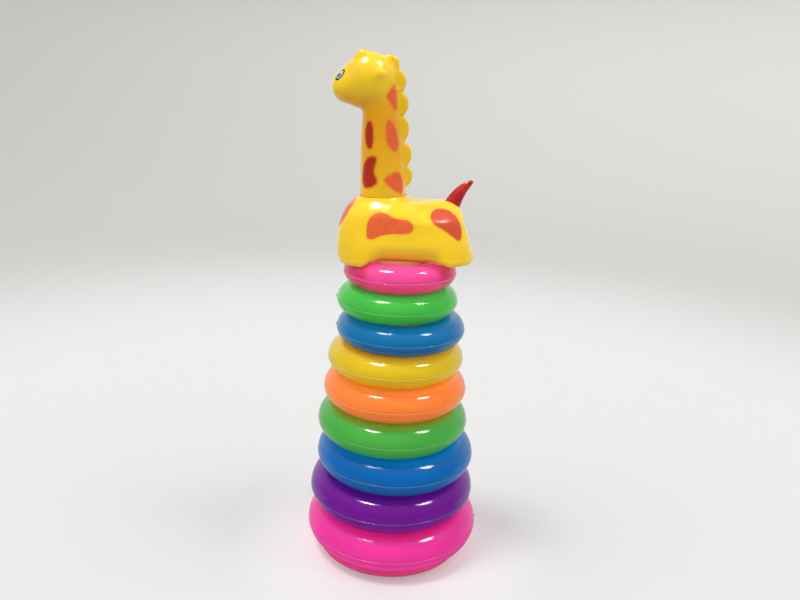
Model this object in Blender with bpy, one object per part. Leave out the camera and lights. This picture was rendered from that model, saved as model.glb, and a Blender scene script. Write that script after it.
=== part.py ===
"""Giraffe-topped stacking-ring tower: nine hollow rings on a tapered post, under a giraffe
that plugs over the post's tip.

+Z is up. The origin is the centre of the foot disc's underside, on the post's axis. The
giraffe faces -X. Lengths are in millimetres, and MM turns them into Blender's metres.
"""

import math

import bmesh
import bpy
from mathutils import Vector

MM = 0.001

# ---------------------------------------------------------------- shared dimensions
FIT_GAP = 0.3  # between two pieces that touch
SPIGOT_LENGTH = 10.0

# ---------------------------------------------------------------- foot disc dimensions
FOOT_RADIUS = 51.5
FOOT_HEIGHT = 3.2
FOOT_TOP_CHAMFER = 0.9
FOOT_BOTTOM_CHAMFER = (1.6, 1.0)  # radial, vertical
FOOT_FACETS = 28
FOOT_SPIGOT_CLEARANCE = 1.2  # radial, inside the post
FOOT_SPIGOT_TAPER = 0.7  # the spigot's tip is this much smaller in radius
FOOT_SPIGOT_TIP_WALL = 2.0

# ---------------------------------------------------------------- ring dimensions
RING_TOP_RADIUS = 37.0  # outer radius of ring 1
RING_RADIUS_STEP = 2.875  # each lower ring is this much larger
RING_SECTION_RATIO = 1.09  # half width of the ring's section over its half height
RING_WALL = 1.8
RING_SEAM = FIT_GAP / 2  # from the parting plane to each shell's edge
RING_OUTER_STEPS, RING_INNER_STEPS = 5, 3  # segments across a shell's outer and inner arcs
RING_FINE, RING_COARSE = 24, 20  # facets round a large ring and a small one
TONGUE_HEIGHT = 2.0  # lip of the lower shell that registers the upper one
TONGUE_WALL = 1.0
TONGUE_ROOT = 0.45  # depth of the tongue's root, as a share of the ring's half height

# half height, offset from the post's axis along X, base colour; ring 1 is the top one
RINGS = (
    (9.35, 0.7, (0.90, 0.09, 0.36)),
    (9.55, -0.45, (0.06, 0.48, 0.06)),
    (9.8, 2.5, (0.015, 0.16, 0.42)),
    (10.4, -0.3, (0.72, 0.52, 0.02)),
    (11.25, 0.0, (0.92, 0.22, 0.03)),
    (11.95, -0.95, (0.06, 0.40, 0.05)),
    (12.6, 1.65, (0.01, 0.14, 0.44)),
    (13.05, -0.15, (0.14, 0.01, 0.30)),
    (13.9, 0.9, (0.85, 0.03, 0.30)),
)
RING_COUNT = len(RINGS)

# ---------------------------------------------------------------- post dimensions
BORE_CLEARANCE = 3.6  # radial, between the post and the narrowest part of the end rings' bores
POST_JOINT_Z = 110.0
POST_TOP_Z = 226.0
POST_WALL = 2.0
POST_FACETS = 24
POST_SPIGOT_CLEARANCE = FIT_GAP + 0.15  # radial, inside the lower tube
DOME_HEIGHT = 5.0
# the dome's middle points: share of the radius at the dome's foot, height above that foot
DOME_OUTER = (0.72, 3.8)
DOME_INNER = (0.6, 1.2)
DOME_INNER_DROP = 1.5  # the dome's hollow starts this far below its foot


# ---------------------------------------------------------------- derived ring and post sizes
def ring_radius(k):
    return RING_TOP_RADIUS + RING_RADIUS_STEP * (k - 1)


def ring_half_height(k):
    return RINGS[k - 1][0]


def ring_half_width(k):
    return RING_SECTION_RATIO * ring_half_height(k)


def ring_bore(k):
    return ring_radius(k) - 2 * ring_half_width(k)


def ring_height(k):
    """Height of the ring's parting plane above the underside of the foot."""
    z = FOOT_HEIGHT + FIT_GAP + ring_half_height(RING_COUNT)
    for j in range(RING_COUNT - 1, k - 1, -1):
        z += ring_half_height(j + 1) + FIT_GAP + ring_half_height(j)
    return z


def post_radius(z):
    """The post is a cone that keeps the same clearance in the top and the bottom ring."""
    top_z, bottom_z = ring_height(1), ring_height(RING_COUNT)
    top = ring_bore(1) - BORE_CLEARANCE
    bottom = ring_bore(RING_COUNT) - BORE_CLEARANCE
    return bottom + (top - bottom) * (z - bottom_z) / (top_z - bottom_z)


# ---------------------------------------------------------------- giraffe body dimensions
PLATE_Z = ring_height(1) + ring_half_height(1) + FIT_GAP  # underside of the belly plate
SHOULDER_HEIGHT = 38.0  # from there to the neck's seat
SHOULDER_Z = PLATE_Z + SHOULDER_HEIGHT

# outer stations from the skirt's rim up to the neck's seat:
# height above the belly plate's underside, front x, rear x, half width, squareness
BODY_STATIONS = (
    (0.0, -40.6, 48.5, 29.5, 2.7),
    (3.2, -40.8, 47.5, 29.2, 2.7),
    (7.0, -40.9, 46.4, 28.6, 2.7),
    (12.5, -40.6, 44.6, 27.4, 2.65),
    (19.0, -39.8, 42.8, 26.0, 2.6),
    (29.0, -36.6, 39.4, 22.4, 2.5),
    (34.0, -33.4, 36.0, 19.2, 2.4),
    (36.6, -30.7, 31.0, 16.8, 2.2),
    (37.6, -28.8, 14.0, 15.8, 2.1),
    (38.1, -27.7, 5.0, 15.6, 2.0),
)
# the hollow's upper stations, top first, in the same columns
HOLLOW_STATIONS = (
    (34.6, -30.4, 29.4, 15.6, 2.2),
    (31.0, -33.0, 34.6, 18.6, 2.4),
)
INSET_STATION_COUNT = 5  # below those, the hollow is this many outer stations set in by the wall
RUMP_STATION = 4  # the tail's foot is shaped to the body from this station up
BODY_WALL = 2.0
BODY_POINTS = 40

# feet and flanks; each pair is where a smooth step starts and ends
LEG_MIDDLE_X = 4.0  # midway between the front and the rear legs
LEG_ALONG = (21.0, 28.5)  # distance along X from the middle
LEG_ACROSS = (8.0, 16.0)  # distance along Y from the middle plane
LEG_FRONT_DROP, LEG_REAR_DROP = 2.9, 1.0  # how far the feet reach below the belly plate
LEG_FADE_HEIGHT = 7.0  # the feet and the arches die out at this height
ARCH_RISE = 1.0  # the skirt's arch over the belly plate's underside
TUCK = 7.0  # how far the flanks are drawn in between the legs
TUCK_HEIGHT = 12.5  # height over which the flanks are drawn in
TUCK_POWER = 1.7  # how quickly the tuck dies out with height
TUCK_ALONG = (13.0, 26.0)  # distance along X from the middle
TUCK_ACROSS = (0.15, 0.8)  # share of the half width

# belly plate
PLATE_THICKNESS = 2.0
# set in from the skirt's rim, beyond its wall and the fit gap: front, rear, sides
PLATE_BOTTOM_INSETS = (0.2, 0.9, 0.4)
PLATE_TOP_INSETS = (0.3, 1.6, 0.7)
PLATE_TUCK = TUCK + 2.5
COLLAR_DROP = 6.0  # the collar reaches this far down into the top ring's bore
COLLAR_WALL = 1.7
SOCKET_HEIGHT = 12.0
SOCKET_CLEARANCE = 0.7
SOCKET_FOOT_WALL, SOCKET_TOP_WALL = 1.9, 1.6

# tail: control points of its spine as x and height above the shoulder
TAIL_CURVE = ((31.0, -7.0), (35.6, 4.5), (43.9, 11.2))
TAIL_STEPS = 6
TAIL_FACETS = 12
TAIL_TIP_RADIUS = 1.1
TAIL_SWELL = 4.9  # added to the tip radius at the foot
TAIL_SWELL_POWER = 0.85
TAIL_FLATNESS = 0.82  # width across Y over the other width
TAIL_HOLE_START = Vector((29.0, 0, PLATE_Z + 30.0))
TAIL_HOLE_END = Vector((35.4, 0, PLATE_Z + 39.0))
TAIL_HOLE_RADIUS, TAIL_HOLE_FACETS = 2.7, 12
TAIL_PEG_START = TAIL_HOLE_START + Vector((0.6, 0, 0.9))
TAIL_PEG_END = TAIL_HOLE_END + Vector((0.3, 0, 0.4))
TAIL_PEG_RADIUS, TAIL_PEG_FACETS = 2.3, 10

# ---------------------------------------------------------------- giraffe neck and head dimensions
NECK_X = -12.0
NECK_RADIUS = 14.7
NECK_HOLE_RADIUS = 12.3
NECK_WALL = 2.2
NECK_FACETS = 20
NECK_ORIGIN = (NECK_X, 0, SHOULDER_Z)
NECK_BASE_Z = SHOULDER_Z + FIT_GAP
NECK_PLUG_LENGTH = 8.0
NECK_PLUG_RADIUS = NECK_HOLE_RADIUS - FIT_GAP
NECK_PLUG_CHAMFER = (0.6, 1.0)  # radial, vertical
NECK_FOOT_THICKENING = 2.4  # extra wall where the neck meets its plug
BORE_OVERSHOOT = 2.0  # the hollow's cutter starts this far below the plug
# a low lip on the body rises round the neck's foot
LIP_HEIGHT = 39.3  # above the belly plate's underside
LIP_INNER_RADIUS = NECK_RADIUS + 0.4
LIP_OUTER_RADIUS = LIP_INNER_RADIUS + 0.3
# height above the neck's base, centre x, radius
NECK_STATIONS = (
    (0.0, NECK_X, NECK_RADIUS),
    (18.0, -12.6, 14.1),
    (36.0, -13.6, 13.0),
    (53.0, -14.6, 11.4),
    (62.0, -17.0, 10.6),
)
# ellipsoids for cranium, bridge of the nose and muzzle: (x, height above the shoulder), radii
HEAD_FORMS = (
    ((-21.5, 71.5), (16.5, 14.6, 15.6)),
    ((-28.5, 70.0), (13.6, 12.6, 12.0)),
    ((-35.2, 66.8), (9.5, 10.6, 9.7)),
)
HOLLOW_FORM_COUNT = 2  # the muzzle is solid apart from these forms' hollows
HEAD_SEGMENTS = (18, 12)  # round the vertical, from pole to pole
HOLLOW_SEGMENTS = (14, 9)
# name, radii, (x, distance from the middle plane, height above the shoulder), segments
HEAD_PAIRS = (
    ("horn", (5.0, 3.6, 5.4), (-27.2, 4.9, 83.3), (10, 8)),
    ("ear", (3.4, 2.4, 2.8), (-14.6, 12.6, 75.0), (10, 6)),
)
# mane scallops, top one first: rearmost x, height above the shoulder, half height
MANE_SCALLOPS = (
    (-4.1, 81.7, 5.8),
    (0.3, 70.2, 6.6),
    (2.2, 57.2, 6.6),
    (3.2, 42.2, 6.6),
    (5.4, 26.9, 6.6),
    (6.3, 13.2, 6.6),
)
MANE_SCALLOP_DEPTH = 5.4
MANE_SCALLOP_HALF_ANGLE = 80  # degrees
MANE_SCALLOP_STEPS = 6
# the mane's edge inside the neck and head, lowest first: x, height above the shoulder
MANE_ROOT = ((-5.0, 6.5), (-5.0, 20), (-8.0, 50), (-12.0, 72), (-14.0, 84))
MANE_HALF_THICKNESS = 2.2
# eyes: thin oval plates
EYE_X, EYE_Y, EYE_HEIGHT = -39.9, 7.0, 73.6  # the height is above the shoulder
EYE_HALF_LENGTH, EYE_HALF_WIDTH = 4.0, 2.7
EYE_THICKNESS = 0.7
EYE_LIFT = 0.4  # from the head's surface to the underside of the eye
EYE_LAYERS = ((0.0, 1.0), (0.6, 0.96), (1.0, 0.6))  # share of the thickness, size of the oval
EYE_LONG_DIRECTION = Vector((0.62, 0, 0.78))  # laid onto the head's surface
EYE_POINTS = 14

# ---------------------------------------------------------------- scene helpers
EMPTY_SIZE = 20.0
SMOOTH_ANGLE = 42  # degrees; sharper edges stay sharp
MERGE_DISTANCE = 1e-6  # metres


def clear():
    for ob in list(bpy.data.objects):
        bpy.data.objects.remove(ob, do_unlink=True)
    for mesh in list(bpy.data.meshes):
        bpy.data.meshes.remove(mesh)
    for material in list(bpy.data.materials):
        bpy.data.materials.remove(material)


def plastic(name, rgb, roughness):
    material = bpy.data.materials.new(name)
    material.use_nodes = True
    shader = material.node_tree.nodes["Principled BSDF"]
    shader.inputs["Base Color"].default_value = (*rgb, 1.0)
    shader.inputs["Roughness"].default_value = roughness
    material.diffuse_color = (*rgb, 1.0)
    return material


def finish_mesh(bm, name):
    bmesh.ops.remove_doubles(bm, verts=bm.verts, dist=MERGE_DISTANCE)
    bmesh.ops.recalc_face_normals(bm, faces=bm.faces)
    if bm.calc_volume(signed=True) < 0:
        bmesh.ops.reverse_faces(bm, faces=bm.faces)
    mesh = bpy.data.meshes.new(name)
    bm.to_mesh(mesh)
    bm.free()
    mesh.shade_smooth()
    mesh.set_sharp_from_angle(angle=math.radians(SMOOTH_ANGLE))
    return mesh


def place(mesh, material=None, at=(0, 0, 0), parent=None):
    """Makes an object named after its mesh, with its origin at `at` in the world."""
    ob = bpy.data.objects.new(mesh.name, mesh)
    bpy.context.scene.collection.objects.link(ob)
    location = Vector(at) * MM
    if parent:
        # the parent has no rotation, so only its place is taken off
        ob.parent = parent
        location = location - parent.location
    ob.location = location
    if material:
        mesh.materials.append(material)
    return ob


def place_about(mesh, material, origin, parent):
    """Places a mesh made in world coordinates on an object whose origin is at `origin`."""
    offset = Vector(origin) * MM
    for vert in mesh.vertices:
        vert.co -= offset
    return place(mesh, material, origin, parent)


def boolean(ob, tool, operation):
    """Adds a Boolean modifier to ob and hides the tool object."""
    tool.hide_render = True
    tool.display_type = "WIRE"
    mod = ob.modifiers.new(operation.lower() + "_" + tool.name, "BOOLEAN")
    mod.operation = operation
    mod.solver = "EXACT"
    mod.object = tool


# ---------------------------------------------------------------- shape helpers
def turn_angles(count):
    return [2 * math.pi * i / count for i in range(count)]


def circle(centre_x, radius, z, count):
    return [
        (centre_x + radius * math.cos(t), radius * math.sin(t), z) for t in turn_angles(count)
    ]


def oval(centre, direction, radius, side_radius, count):
    """An ellipse square to a direction in the XZ plane; side_radius is along Y."""
    side = Vector((0, 1, 0))
    up = direction.cross(side)
    return [
        centre + up * (radius * math.cos(t)) + side * (side_radius * math.sin(t))
        for t in turn_angles(count)
    ]


def superellipse(front, rear, half_width, squareness):
    """Points of a closed loop that spans front..rear along X and +-half_width along Y."""
    centre_x, half_length = (front + rear) / 2, (rear - front) / 2
    power = 2 / squareness
    points = []
    for t in turn_angles(BODY_POINTS):
        c, s = math.cos(t), math.sin(t)
        x = centre_x + half_length * math.copysign(abs(c) ** power, c)
        points.append((x, half_width * math.copysign(abs(s) ** power, s)))
    return points


def turned(name, profile, facets):
    """Turns a closed (r, z) profile about the Z axis. Points with r = 0 become poles."""
    bm = bmesh.new()
    rows = []
    for r, z in profile:
        points = circle(0, r, z, facets) if r else [(0, 0, z)]
        rows.append([bm.verts.new(Vector(p) * MM) for p in points])
    for a, b in zip(rows, rows[1:] + rows[:1]):
        if len(a) == 1 and len(b) == 1:
            continue
        for i in range(facets):
            j = (i + 1) % facets
            if len(a) == 1:
                bm.faces.new((a[0], b[j], b[i]))
            elif len(b) == 1:
                bm.faces.new((a[i], a[j], b[0]))
            else:
                bm.faces.new((a[i], a[j], b[j], b[i]))
    return finish_mesh(bm, name)


def lofted(name, loops, cyclic=False):
    """Skins loops of points; cyclic joins the last loop to the first, otherwise ends are capped."""
    bm = bmesh.new()
    rows = [[bm.verts.new(Vector(p) * MM) for p in loop] for loop in loops]
    count = len(rows[0])
    pairs = list(zip(rows, rows[1:]))
    if cyclic:
        pairs.append((rows[-1], rows[0]))
    for a, b in pairs:
        for i in range(count):
            j = (i + 1) % count
            bm.faces.new((a[i], a[j], b[j], b[i]))
    if not cyclic:
        bm.faces.new(rows[0][::-1])
        bm.faces.new(rows[-1])
    return finish_mesh(bm, name)


def rod(name, start, stop, radius, facets):
    direction = (stop - start).normalized()
    return lofted(name, [oval(p, direction, radius, radius, facets) for p in (start, stop)])


def ellipsoid(name, radii, centre, segments):
    around, rings = segments
    bm = bmesh.new()
    bmesh.ops.create_uvsphere(bm, u_segments=around, v_segments=rings, radius=1.0)
    for vert in bm.verts:
        vert.co = Vector([(c + r * p) * MM for c, r, p in zip(centre, radii, vert.co)])
    return finish_mesh(bm, name)


def merged(name, meshes):
    """One mesh that holds several separate closed bodies, for use as a Boolean operand."""
    bm = bmesh.new()
    for mesh in meshes:
        bm.from_mesh(mesh)
    return finish_mesh(bm, name)


def smooth(value, low, high):
    """Smooth step from 0 at low to 1 at high."""
    t = max(0.0, min(1.0, (value - low) / (high - low)))
    return t * t * (3 - 2 * t)


# ---------------------------------------------------------------- foot and post
def build_foot(material):
    spigot = post_radius(FOOT_HEIGHT) - POST_WALL - FOOT_SPIGOT_CLEARANCE
    spigot_tip = spigot - FOOT_SPIGOT_TAPER
    spigot_bore = spigot_tip - FOOT_SPIGOT_TIP_WALL
    spigot_top_z = FOOT_HEIGHT + SPIGOT_LENGTH
    chamfer_width, chamfer_height = FOOT_BOTTOM_CHAMFER
    profile = [
        (0, 0),
        (FOOT_RADIUS - chamfer_width, 0),
        (FOOT_RADIUS, chamfer_height),
        (FOOT_RADIUS, FOOT_HEIGHT - FOOT_TOP_CHAMFER),
        (FOOT_RADIUS - FOOT_TOP_CHAMFER, FOOT_HEIGHT),
        (spigot, FOOT_HEIGHT),
        (spigot_tip, spigot_top_z),
        (spigot_bore, spigot_top_z),
        (spigot_bore, FOOT_HEIGHT),
        (0, FOOT_HEIGHT),
    ]
    place(turned("foot_disc", profile, FOOT_FACETS), material)


def build_post_lower(material):
    foot_z = FOOT_HEIGHT + FIT_GAP
    profile = [
        (post_radius(foot_z), foot_z),
        (post_radius(POST_JOINT_Z), POST_JOINT_Z),
        (post_radius(POST_JOINT_Z) - POST_WALL, POST_JOINT_Z),
        (post_radius(foot_z) - POST_WALL, foot_z),
    ]
    place(turned("post_lower_tube", profile, POST_FACETS), material)


def build_post_upper(material):
    """The upper tube has a spigot below, inside the lower tube, and a dome on top."""
    joint_z = POST_JOINT_Z + FIT_GAP
    spigot_z = POST_JOINT_Z - SPIGOT_LENGTH
    spigot_inset = POST_WALL + POST_SPIGOT_CLEARANCE
    spigot_foot = post_radius(spigot_z) - spigot_inset
    dome_z = POST_TOP_Z - DOME_HEIGHT
    dome_radius = post_radius(dome_z)
    profile = [
        (spigot_foot, spigot_z),
        (post_radius(joint_z) - spigot_inset, joint_z),
        (post_radius(joint_z), joint_z),
        (dome_radius, dome_z),
        (dome_radius * DOME_OUTER[0], dome_z + DOME_OUTER[1]),
        (0, POST_TOP_Z),
        (0, POST_TOP_Z - POST_WALL),
        (dome_radius * DOME_INNER[0], dome_z + DOME_INNER[1]),
        (dome_radius - POST_WALL, dome_z - DOME_INNER_DROP),
        (spigot_foot - POST_WALL, spigot_z),
    ]
    place(turned("post_upper_tube", profile, POST_FACETS), material)


# ---------------------------------------------------------------- rings
def half_section(middle, half_width, half_height, steps, sign):
    """Half an ellipse from the ring's outer side to its bore, above (+1) or below (-1) the seam."""
    points = []
    for i in range(steps + 1):
        t = math.pi * i / steps
        z = max(half_height * math.sin(t), RING_SEAM)
        points.append((middle + half_width * math.cos(t), sign * z))
    return points


def build_ring(k, material):
    radius, half_height, half_width = ring_radius(k), ring_half_height(k), ring_half_width(k)
    middle = radius - half_width
    hollow_width, hollow_height = half_width - RING_WALL, half_height - RING_WALL
    facets = RING_FINE if k > RING_COUNT // 2 else RING_COARSE
    at = (RINGS[k - 1][1], 0, ring_height(k))

    # the section's crest is flat from 72 to 108 degrees, at the ring's half height
    crest = half_height / math.sin(math.radians(72))

    def shell(sign):
        outer = half_section(middle, half_width, crest, RING_OUTER_STEPS, sign)
        inner = half_section(middle, hollow_width, hollow_height, RING_INNER_STEPS, sign)
        return outer + inner[::-1]

    place(turned(f"ring_{k}_upper_shell", shell(1), facets), material, at)

    # the lower shell's tongue leans in with the first, 60 degree step of the upper shell's hollow
    slope = 0.5 * hollow_width / (math.sin(math.radians(60)) * hollow_height)
    tongue_foot = radius - RING_WALL - FIT_GAP
    tongue_tip = tongue_foot - (TONGUE_HEIGHT + RING_SEAM) * slope
    tongue = [
        (tongue_foot - TONGUE_WALL, -half_height * TONGUE_ROOT),
        (tongue_tip - TONGUE_WALL, TONGUE_HEIGHT),
        (tongue_tip, TONGUE_HEIGHT),
        (tongue_foot, -RING_SEAM),
    ]
    # the tongue replaces the last point of the shell's inner arc
    place(turned(f"ring_{k}_lower_shell", shell(-1)[:-1] + tongue, facets), material, at)


# ---------------------------------------------------------------- giraffe body
def leg(x, y):
    """1 over the four feet at the corners, 0 along the arches between them."""
    return smooth(abs(x - LEG_MIDDLE_X), *LEG_ALONG) * smooth(abs(y), *LEG_ACROSS)


def drawn_in(x, y, half_width, depth):
    """y with the flank drawn towards the middle plane between the legs."""
    between = 1 - smooth(abs(x - LEG_MIDDLE_X), *TUCK_ALONG)
    pull = depth * between * smooth(abs(y) / half_width, *TUCK_ACROSS)
    return y - math.copysign(pull, y)


def body_loop(height, front, rear, half_width, squareness, inset=0.0, feet=True):
    """One loop of the body; feet adds the feet, the arches and the tucked flanks."""
    depth = TUCK * max(0.0, 1 - height / TUCK_HEIGHT) ** TUCK_POWER if feet else 0.0
    fade = max(0.0, 1 - height / LEG_FADE_HEIGHT) if feet else 0.0
    loop = []
    for x, y in superellipse(front + inset, rear - inset, half_width - inset, squareness):
        leg_drop = LEG_FRONT_DROP if x < LEG_MIDDLE_X else LEG_REAR_DROP
        rim = ARCH_RISE - (ARCH_RISE + leg_drop) * leg(x, y)
        loop.append((x, drawn_in(x, y, half_width, depth), PLATE_Z + height + rim * fade))
    return loop


def neck_seat_loop(height, radius):
    """A round body loop about the neck's foot."""
    return body_loop(height, NECK_X - radius, NECK_X + radius, radius, 2.0)


def build_body_shell(material, root):
    loops = [
        *(body_loop(*station) for station in BODY_STATIONS),
        neck_seat_loop(LIP_HEIGHT, LIP_OUTER_RADIUS),
        neck_seat_loop(LIP_HEIGHT, LIP_INNER_RADIUS),
        neck_seat_loop(SHOULDER_HEIGHT, LIP_INNER_RADIUS),
        neck_seat_loop(SHOULDER_HEIGHT, NECK_HOLE_RADIUS),
        neck_seat_loop(SHOULDER_HEIGHT - BODY_WALL, NECK_HOLE_RADIUS),
        *(body_loop(*station) for station in HOLLOW_STATIONS),
        *(
            body_loop(*station, inset=BODY_WALL)
            for station in reversed(BODY_STATIONS[:INSET_STATION_COUNT])
        ),
    ]
    # the outer and the inner skin change places at the lip, so the loops run in one cycle
    loops[len(BODY_STATIONS)], loops[len(BODY_STATIONS) + 1] = (
        loops[len(BODY_STATIONS)],
        loops[len(BODY_STATIONS) + 1],
    )
    body = place(lofted("giraffe_body_shell", loops, cyclic=True), material, parent=root)

    # socket in the rump for the tail's peg
    hole = rod("tail_hole", TAIL_HOLE_START, TAIL_HOLE_END, TAIL_HOLE_RADIUS, TAIL_HOLE_FACETS)
    boolean(body, place(hole, parent=root), "DIFFERENCE")


def build_belly_plate(material, root):
    """Closes the shell's underside, lies on the top ring and carries the socket for the post's
    tip, whose collar hangs into the ring's bore."""
    _, front, rear, half_width, squareness = BODY_STATIONS[0]
    gap = BODY_WALL + FIT_GAP

    def edge(insets, height):
        at_front, at_rear, at_sides = insets
        outline = superellipse(
            front + gap + at_front, rear - gap - at_rear, half_width - gap - at_sides, squareness
        )
        return [(x, drawn_in(x, y, half_width, PLATE_TUCK), PLATE_Z + height) for x, y in outline]

    socket = post_radius(PLATE_Z) + SOCKET_CLEARANCE
    # radius, height above the plate's underside
    socket_profile = (
        (socket + SOCKET_FOOT_WALL, PLATE_THICKNESS),
        (socket + SOCKET_TOP_WALL, SOCKET_HEIGHT),
        (socket, SOCKET_HEIGHT),
        (socket, -COLLAR_DROP),
        (socket + COLLAR_WALL, -COLLAR_DROP),
        (socket + COLLAR_WALL, 0.0),
    )
    loops = [edge(PLATE_BOTTOM_INSETS, 0.0), edge(PLATE_TOP_INSETS, PLATE_THICKNESS)]
    loops += [circle(0, r, PLATE_Z + height, BODY_POINTS) for r, height in socket_profile]
    place(lofted("giraffe_belly_plate", loops, cyclic=True), material, parent=root)


def build_tail(material, root):
    """A curved horn that stands on the rump, with a peg into the body."""
    start, bend, tip = (Vector((x, 0, SHOULDER_Z + height)) for x, height in TAIL_CURVE)
    spine = []
    for i in range(TAIL_STEPS + 1):
        t = i / TAIL_STEPS
        spine.append((1 - t) ** 2 * start + 2 * t * (1 - t) * bend + t * t * tip)
    loops = []
    for i, point in enumerate(spine):
        direction = (spine[min(i + 1, TAIL_STEPS)] - spine[max(i - 1, 0)]).normalized()
        radius = TAIL_SWELL * (1 - i / TAIL_STEPS) ** TAIL_SWELL_POWER + TAIL_TIP_RADIUS
        loops.append(oval(point, direction, radius, TAIL_FLATNESS * radius, TAIL_FACETS))
    tail = place(lofted("giraffe_tail", loops), material, parent=root)

    # the foot of the horn follows the rump's surface, a gap away from it
    swollen = [
        body_loop(height + FIT_GAP, front, rear, half_width, squareness, -FIT_GAP, feet=False)
        for height, front, rear, half_width, squareness in BODY_STATIONS[RUMP_STATION:]
    ]
    boolean(tail, place(lofted("rump_surface", swollen), parent=root), "DIFFERENCE")
    peg = rod("tail_peg", TAIL_PEG_START, TAIL_PEG_END, TAIL_PEG_RADIUS, TAIL_PEG_FACETS)
    boolean(tail, place(peg, parent=root), "UNION")


# ---------------------------------------------------------------- giraffe neck and head
def mane_mesh():
    """A plate in the giraffe's middle plane whose rear edge is a row of round scallops."""
    outline = []
    for rear_x, height, half_height in MANE_SCALLOPS:
        for i in range(MANE_SCALLOP_STEPS + 1):
            t = math.radians(MANE_SCALLOP_HALF_ANGLE * (1 - 2 * i / MANE_SCALLOP_STEPS))
            x = rear_x - MANE_SCALLOP_DEPTH * (1 - math.cos(t))
            outline.append((x, SHOULDER_Z + height + half_height * math.sin(t)))
    outline += [(x, SHOULDER_Z + height) for x, height in MANE_ROOT]
    sides = (-MANE_HALF_THICKNESS, MANE_HALF_THICKNESS)
    return lofted("mane", [[(x, y, z) for x, z in outline] for y in sides])


def crown_mesh():
    """Mane, horns and ears."""
    parts = [mane_mesh()]
    for name, radii, (x, y, height), segments in HEAD_PAIRS:
        for suffix, side in (("a", -1), ("b", 1)):
            centre = (x, side * y, SHOULDER_Z + height)
            parts.append(ellipsoid(f"{name}_{suffix}", radii, centre, segments))
    return merged("crown_form", parts)


def neck_mesh():
    chamfer_width, chamfer_height = NECK_PLUG_CHAMFER
    plug_z = NECK_BASE_Z - NECK_PLUG_LENGTH
    loops = [
        circle(NECK_X, NECK_PLUG_RADIUS - chamfer_width, plug_z, NECK_FACETS),
        circle(NECK_X, NECK_PLUG_RADIUS, plug_z + chamfer_height, NECK_FACETS),
        circle(NECK_X, NECK_PLUG_RADIUS, NECK_BASE_Z, NECK_FACETS),
    ]
    loops += [circle(x, r, NECK_BASE_Z + height, NECK_FACETS) for height, x, r in NECK_STATIONS]
    return lofted("giraffe_neck_and_head", loops)


def neck_hollow_mesh():
    start_z = NECK_BASE_Z - NECK_PLUG_LENGTH - BORE_OVERSHOOT
    loops = [circle(NECK_X, NECK_PLUG_RADIUS - NECK_WALL, start_z, NECK_FACETS)]
    for i, (height, x, radius) in enumerate(NECK_STATIONS):
        wall = NECK_WALL + (NECK_FOOT_THICKENING if i == 0 else 0)
        loops.append(circle(x, radius - wall, NECK_BASE_Z + height, NECK_FACETS))
    return lofted("neck_hollow", loops)


def build_neck(material, root):
    neck = place_about(neck_mesh(), material, NECK_ORIGIN, root)

    def combine(mesh, operation):
        boolean(neck, place_about(mesh, None, NECK_ORIGIN, root), operation)

    for i, ((x, height), radii) in enumerate(HEAD_FORMS, 1):
        centre = (x, 0, SHOULDER_Z + height)
        combine(ellipsoid(f"head_form_{i}", radii, centre, HEAD_SEGMENTS), "UNION")
    combine(crown_mesh(), "UNION")
    for i, ((x, height), radii) in enumerate(HEAD_FORMS[:HOLLOW_FORM_COUNT], 1):
        centre = (x, 0, SHOULDER_Z + height)
        inner_radii = [r - NECK_WALL for r in radii]
        hollow = ellipsoid(f"head_hollow_{i}", inner_radii, centre, HOLLOW_SEGMENTS)
        combine(hollow, "DIFFERENCE")
    combine(neck_hollow_mesh(), "DIFFERENCE")


def on_head(point):
    """Moves a point radially onto the head form that stands out most there.

    Returns the place on that form's surface and the surface's normal.
    """
    candidates = []
    for (x, height), radii in HEAD_FORMS:
        centre = (x, 0, SHOULDER_Z + height)
        scaled = [(p - c) / r for p, c, r in zip(point, centre, radii)]
        distance = math.sqrt(sum(s * s for s in scaled))
        candidates.append((distance, centre, radii, scaled))
    distance, centre, radii, scaled = min(candidates, key=lambda candidate: candidate[0])
    place_on_form = Vector([c + s / distance * r for c, s, r in zip(centre, scaled, radii)])
    return place_on_form, Vector([s / r for s, r in zip(scaled, radii)]).normalized()


def build_eye(name, side, material, root):
    """A thin oval plate on the front of the face; side is -1 or 1 along Y."""
    centre, normal = on_head(Vector((EYE_X, side * EYE_Y, SHOULDER_Z + EYE_HEIGHT)))
    along = (EYE_LONG_DIRECTION - normal * normal.dot(EYE_LONG_DIRECTION)).normalized()
    across = normal.cross(along)
    loops = []
    for share, scale in EYE_LAYERS:
        lift = EYE_LIFT + EYE_THICKNESS * share
        loop = []
        for t in turn_angles(EYE_POINTS):
            along_offset = along * (EYE_HALF_LENGTH * scale * math.cos(t))
            across_offset = across * (EYE_HALF_WIDTH * scale * math.sin(t))
            surface_point, outward = on_head(centre + along_offset + across_offset)
            loop.append(surface_point + outward * lift)
        loops.append(loop)
    place_about(lofted(name, loops), material, NECK_ORIGIN, root)


# ---------------------------------------------------------------- assembly
def build_root():
    """The empty that carries the giraffe, on the post's axis."""
    root = bpy.data.objects.new("giraffe_lift_axis", None)
    root.empty_display_size = EMPTY_SIZE * MM
    root.location = Vector((0, 0, PLATE_Z)) * MM
    bpy.context.scene.collection.objects.link(root)
    return root


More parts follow.
